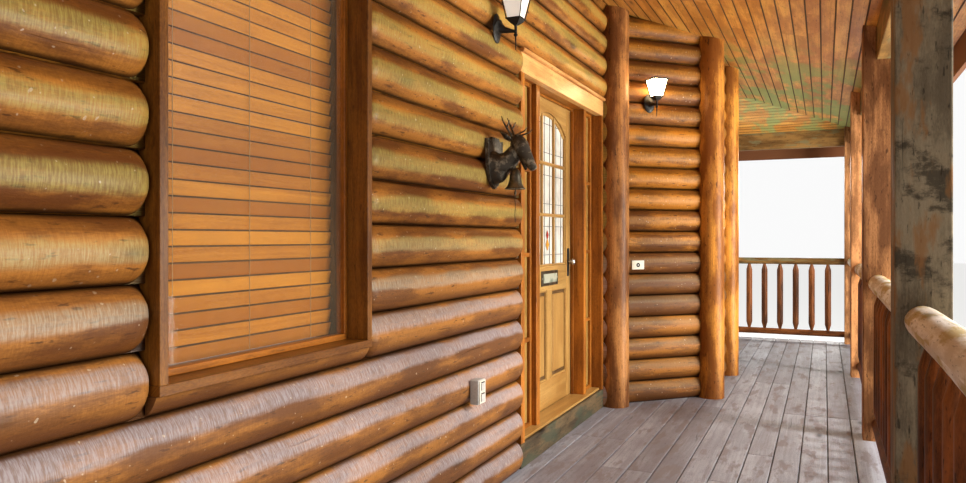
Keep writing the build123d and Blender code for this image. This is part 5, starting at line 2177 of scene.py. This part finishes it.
@dataclass
class Fittings:
    """Switch plate and outlet box on the walls."""

    outlet_half: float = 0.037
    outlet_tall: float = 0.0573
    outlet_deep: float = 0.044
    outlet_level: float = 0.57
    flap_off: float = 0.026
    switch_run: tuple[float, float] = (0.143, 0.253)
    switch_half: float = 0.035
    switch_thick: float = 0.0075
    switch_level: float = 1.08
    screw_in: float = 0.013

    def build(self, x: float) -> None:
        """Build both, the outlet at a run along the front wall.

        Args:
            x: the outlet's place along the front wall.
        """
        y, z = -PLAN.bulge, PLAN.deck + self.outlet_level
        outlet = Piece("outlet_cover", replaces=("outlet_box",), smooth=30, at=FRONT.matrix)
        half, tall, deep = self.outlet_half, self.outlet_tall, self.outlet_deep

        # Half width, half height, place over the middle, front, back, eased edge and its steps, finish
        layers = [
            (half, tall, 0.0, deep, 0.0005, 0.004, 3, GREY_BOX),
            (half - 0.004, tall - 0.0043, 0.0, deep + 0.0055, deep + 0.0005, 0.0022, 3, PLASTIC),
        ]
        for up in (-self.flap_off, self.flap_off):
            layers.append((0.019, 0.017, up, deep + 0.0105, deep + 0.0056, 0.0018, 2, GREY_BOX))
            layers.append((0.016, 0.002, up + 0.0195, deep + 0.0085, deep + 0.0056, 0.0, 0, BLACK_IRON))
        for wide, high, up, front, back, edge, steps, finish in layers:
            shape = block((x - wide, y - front, z + up - high), (x + wide, y - back, z + up + high))
            if edge:
                bevel(shape, shape.edges[:], edge, steps)
            outlet.add(shape, finish, None, Axis.Z)
        outlet.done()
        switch = Piece("switch_cover", replaces=("switch_plate",), smooth=30, at=CANTED.matrix)
        z, face, (x0, x1) = PLAN.deck + self.switch_level, y - self.switch_thick, self.switch_run
        plate = block((x0, face, z - self.switch_half), (x1, y - 0.0005, z + self.switch_half))
        bevel(plate, edges_before(plate, y - 0.007), 0.003, 3)
        switch.add(plate, PLASTIC, None, Axis.Z)
        middle = (x0 + x1) / 2
        for run, radius, finish in (
            (middle, 0.017, BLACK_IRON),
            (middle, 0.007, GREY_BOX),
            (x0 + self.screw_in, 0.003, NICKEL),
            (x1 - self.screw_in, 0.003, NICKEL),
        ):
            tall = 0.0007 if radius > 0.01 else 0.0009
            disc = turned([(0.0, 0.0), (radius, 0.0), (radius, 0.0006), (0.0, tall)], 20)
            switch.add(disc, finish, CANTED.matrix @ move(run, face, z) @ turn_about("X", 90), Axis.Z)
        switch.done()


def dress_solids() -> None:
    """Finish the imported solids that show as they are: roof, framing, footings, panes and hinges."""
    for finish, nodes in SHOWN_SOLIDS.items():
        for node in nodes.split():
            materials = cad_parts[node].data.materials
            materials.clear()
            materials.append(finish.material())


# The stage and the view


@dataclass(frozen=True)
class Softbox:
    """A round studio lamp."""

    name: str
    place: Point
    aim: Point
    size: float
    power: float
    colour: Colour

    def build(self) -> None:
        """Make the lamp."""
        lamp = bpy.data.lights.new(self.name, "AREA")
        lamp.shape, lamp.size, lamp.energy, lamp.color = "DISK", self.size, self.power, self.colour
        made = place_object(self.name, lamp)
        made.location = self.place
        made.rotation_euler = (Vector(self.aim) - Vector(self.place)).to_track_quat("-Z", "Y").to_euler()


@dataclass
class Stage:
    """Pale floor, plain world and soft lamps."""

    floor_half: float = 60.0
    floor_lit: Colour = (0.80, 0.79, 0.77)
    floor_seen: Colour = (0.45, 0.445, 0.44)
    floor_lift: float = 0.68
    world_lit: Colour = (0.30, 0.29, 0.26)
    world_seen: Colour = (0.96, 0.96, 0.96)
    lamps: tuple[Softbox, ...] = (
        Softbox("front_softbox", (-1.5, -8.0, 6.2), (-1.5, 0.8, 1.4), 3.2, 1450.0, (1.0, 0.96, 0.88)),
        Softbox("low_softbox", (0.0, -5.5, 0.9), (0.0, 0.2, 3.2), 4.0, 1000.0, (1.0, 0.96, 0.86)),
        Softbox("end_softbox", (9.5, -1.4, 3.4), (1.0, -0.2, 0.9), 2.5, 420.0, (1.0, 0.97, 0.90)),
        Softbox("back_softbox", (-0.5, 9.0, 5.0), (-0.5, 1.0, 1.8), 4.0, 500.0, (1.0, 0.97, 0.92)),
        Softbox("near_softbox", (-9.0, -1.0, 3.0), (0.0, 0.6, 1.8), 3.0, 70.0, (1.0, 0.95, 0.88)),
    )

    def build(self) -> None:
        """Build the stage."""
        shader = Shader("pale_floor")
        seen = shader.node("ShaderNodeLightPath", {}, {}, "Is Camera Ray")
        lift = shader.mix(seen, (0.0, 0.0, 0.0), (self.floor_lift,) * 3)
        skin_colour = shader.mix(seen, self.floor_lit, self.floor_seen)
        shader.finish(Base_Color=skin_colour, Roughness=0.9, Emission_Color=lift, Emission_Strength=1.0)
        mesh = bpy.data.meshes.new("floor")
        bm = bmesh.new()
        bmesh.ops.create_grid(bm, x_segments=1, y_segments=1, size=self.floor_half)
        bm.to_mesh(mesh)
        bm.free()
        mesh.materials.append(shader.material)
        floor = place_object("floor", mesh)
        world = bpy.data.worlds.new("studio")
        bpy.context.scene.world = world
        world.use_nodes = True
        tree = world.node_tree
        path = tree.nodes.new("ShaderNodeLightPath")
        mix = tree.nodes.new("ShaderNodeMix")
        mix.data_type = "RGBA"
        mix.inputs[6].default_value = (*self.world_lit, 1.0)
        mix.inputs[7].default_value = (*self.world_seen, 1.0)
        tree.links.new(path.outputs["Is Camera Ray"], mix.inputs[0])
        tree.links.new(mix.outputs[2], tree.nodes["Background"].inputs[0])
        for lamp in self.lamps:
            lamp.build()


@dataclass(frozen=True)
class View:
    """The photograph's camera, worked out from the deck boards' vanishing point."""

    eye: Point = (-5.54, -0.695, 1.89)
    heading: float = 24.48
    focal_px: float = 750.0
    width_px: float = 966.0
    horizon_above_middle_px: float = 3.5

    def build(self) -> None:
        """Make the camera."""
        camera = bpy.data.cameras.new("camera")
        camera.sensor_width = 36.0
        camera.lens = self.focal_px / self.width_px * camera.sensor_width
        camera.shift_y = -self.horizon_above_middle_px / self.width_px
        camera.clip_start = 0.02
        made = place_object("camera", camera)
        made.location = self.eye
        made.rotation_euler = (math.pi / 2, 0.0, math.radians(self.heading - 90.0))
        bpy.context.scene.camera = made


LANTERN_BEFORE_DOOR, DEER_BEFORE_DOOR, OUTLET_BEFORE_DOOR = 0.417, 0.465, 0.690
LANTERN_ALONG_CANTED = 0.302


def main() -> None:
    """Build every piece, then the stage and the camera."""
    logging.basicConfig(level=logging.INFO, format="%(message)s")
    door, window = DoorUnit(), Window()
    LogWalls().build(door, window)
    for part in (window, door, Floor(), Ceiling(), PostsAndBeams(), Railings()):
        part.build()
    Lantern().build("front", FRONT, door.x0 - LANTERN_BEFORE_DOOR, COOL_LAMP_GLASS)
    Lantern().build("canted", CANTED, LANTERN_ALONG_CANTED, LAMP_GLASS)
    DeerBell().build(door.x0 - DEER_BEFORE_DOOR)
    Fittings().build(door.x0 - OUTLET_BEFORE_DOOR)
    dress_solids()
    Stage().build()
    View().build()
    bpy.context.scene.view_settings.view_transform = "Standard"


if __name__ == "__main__":
    main()
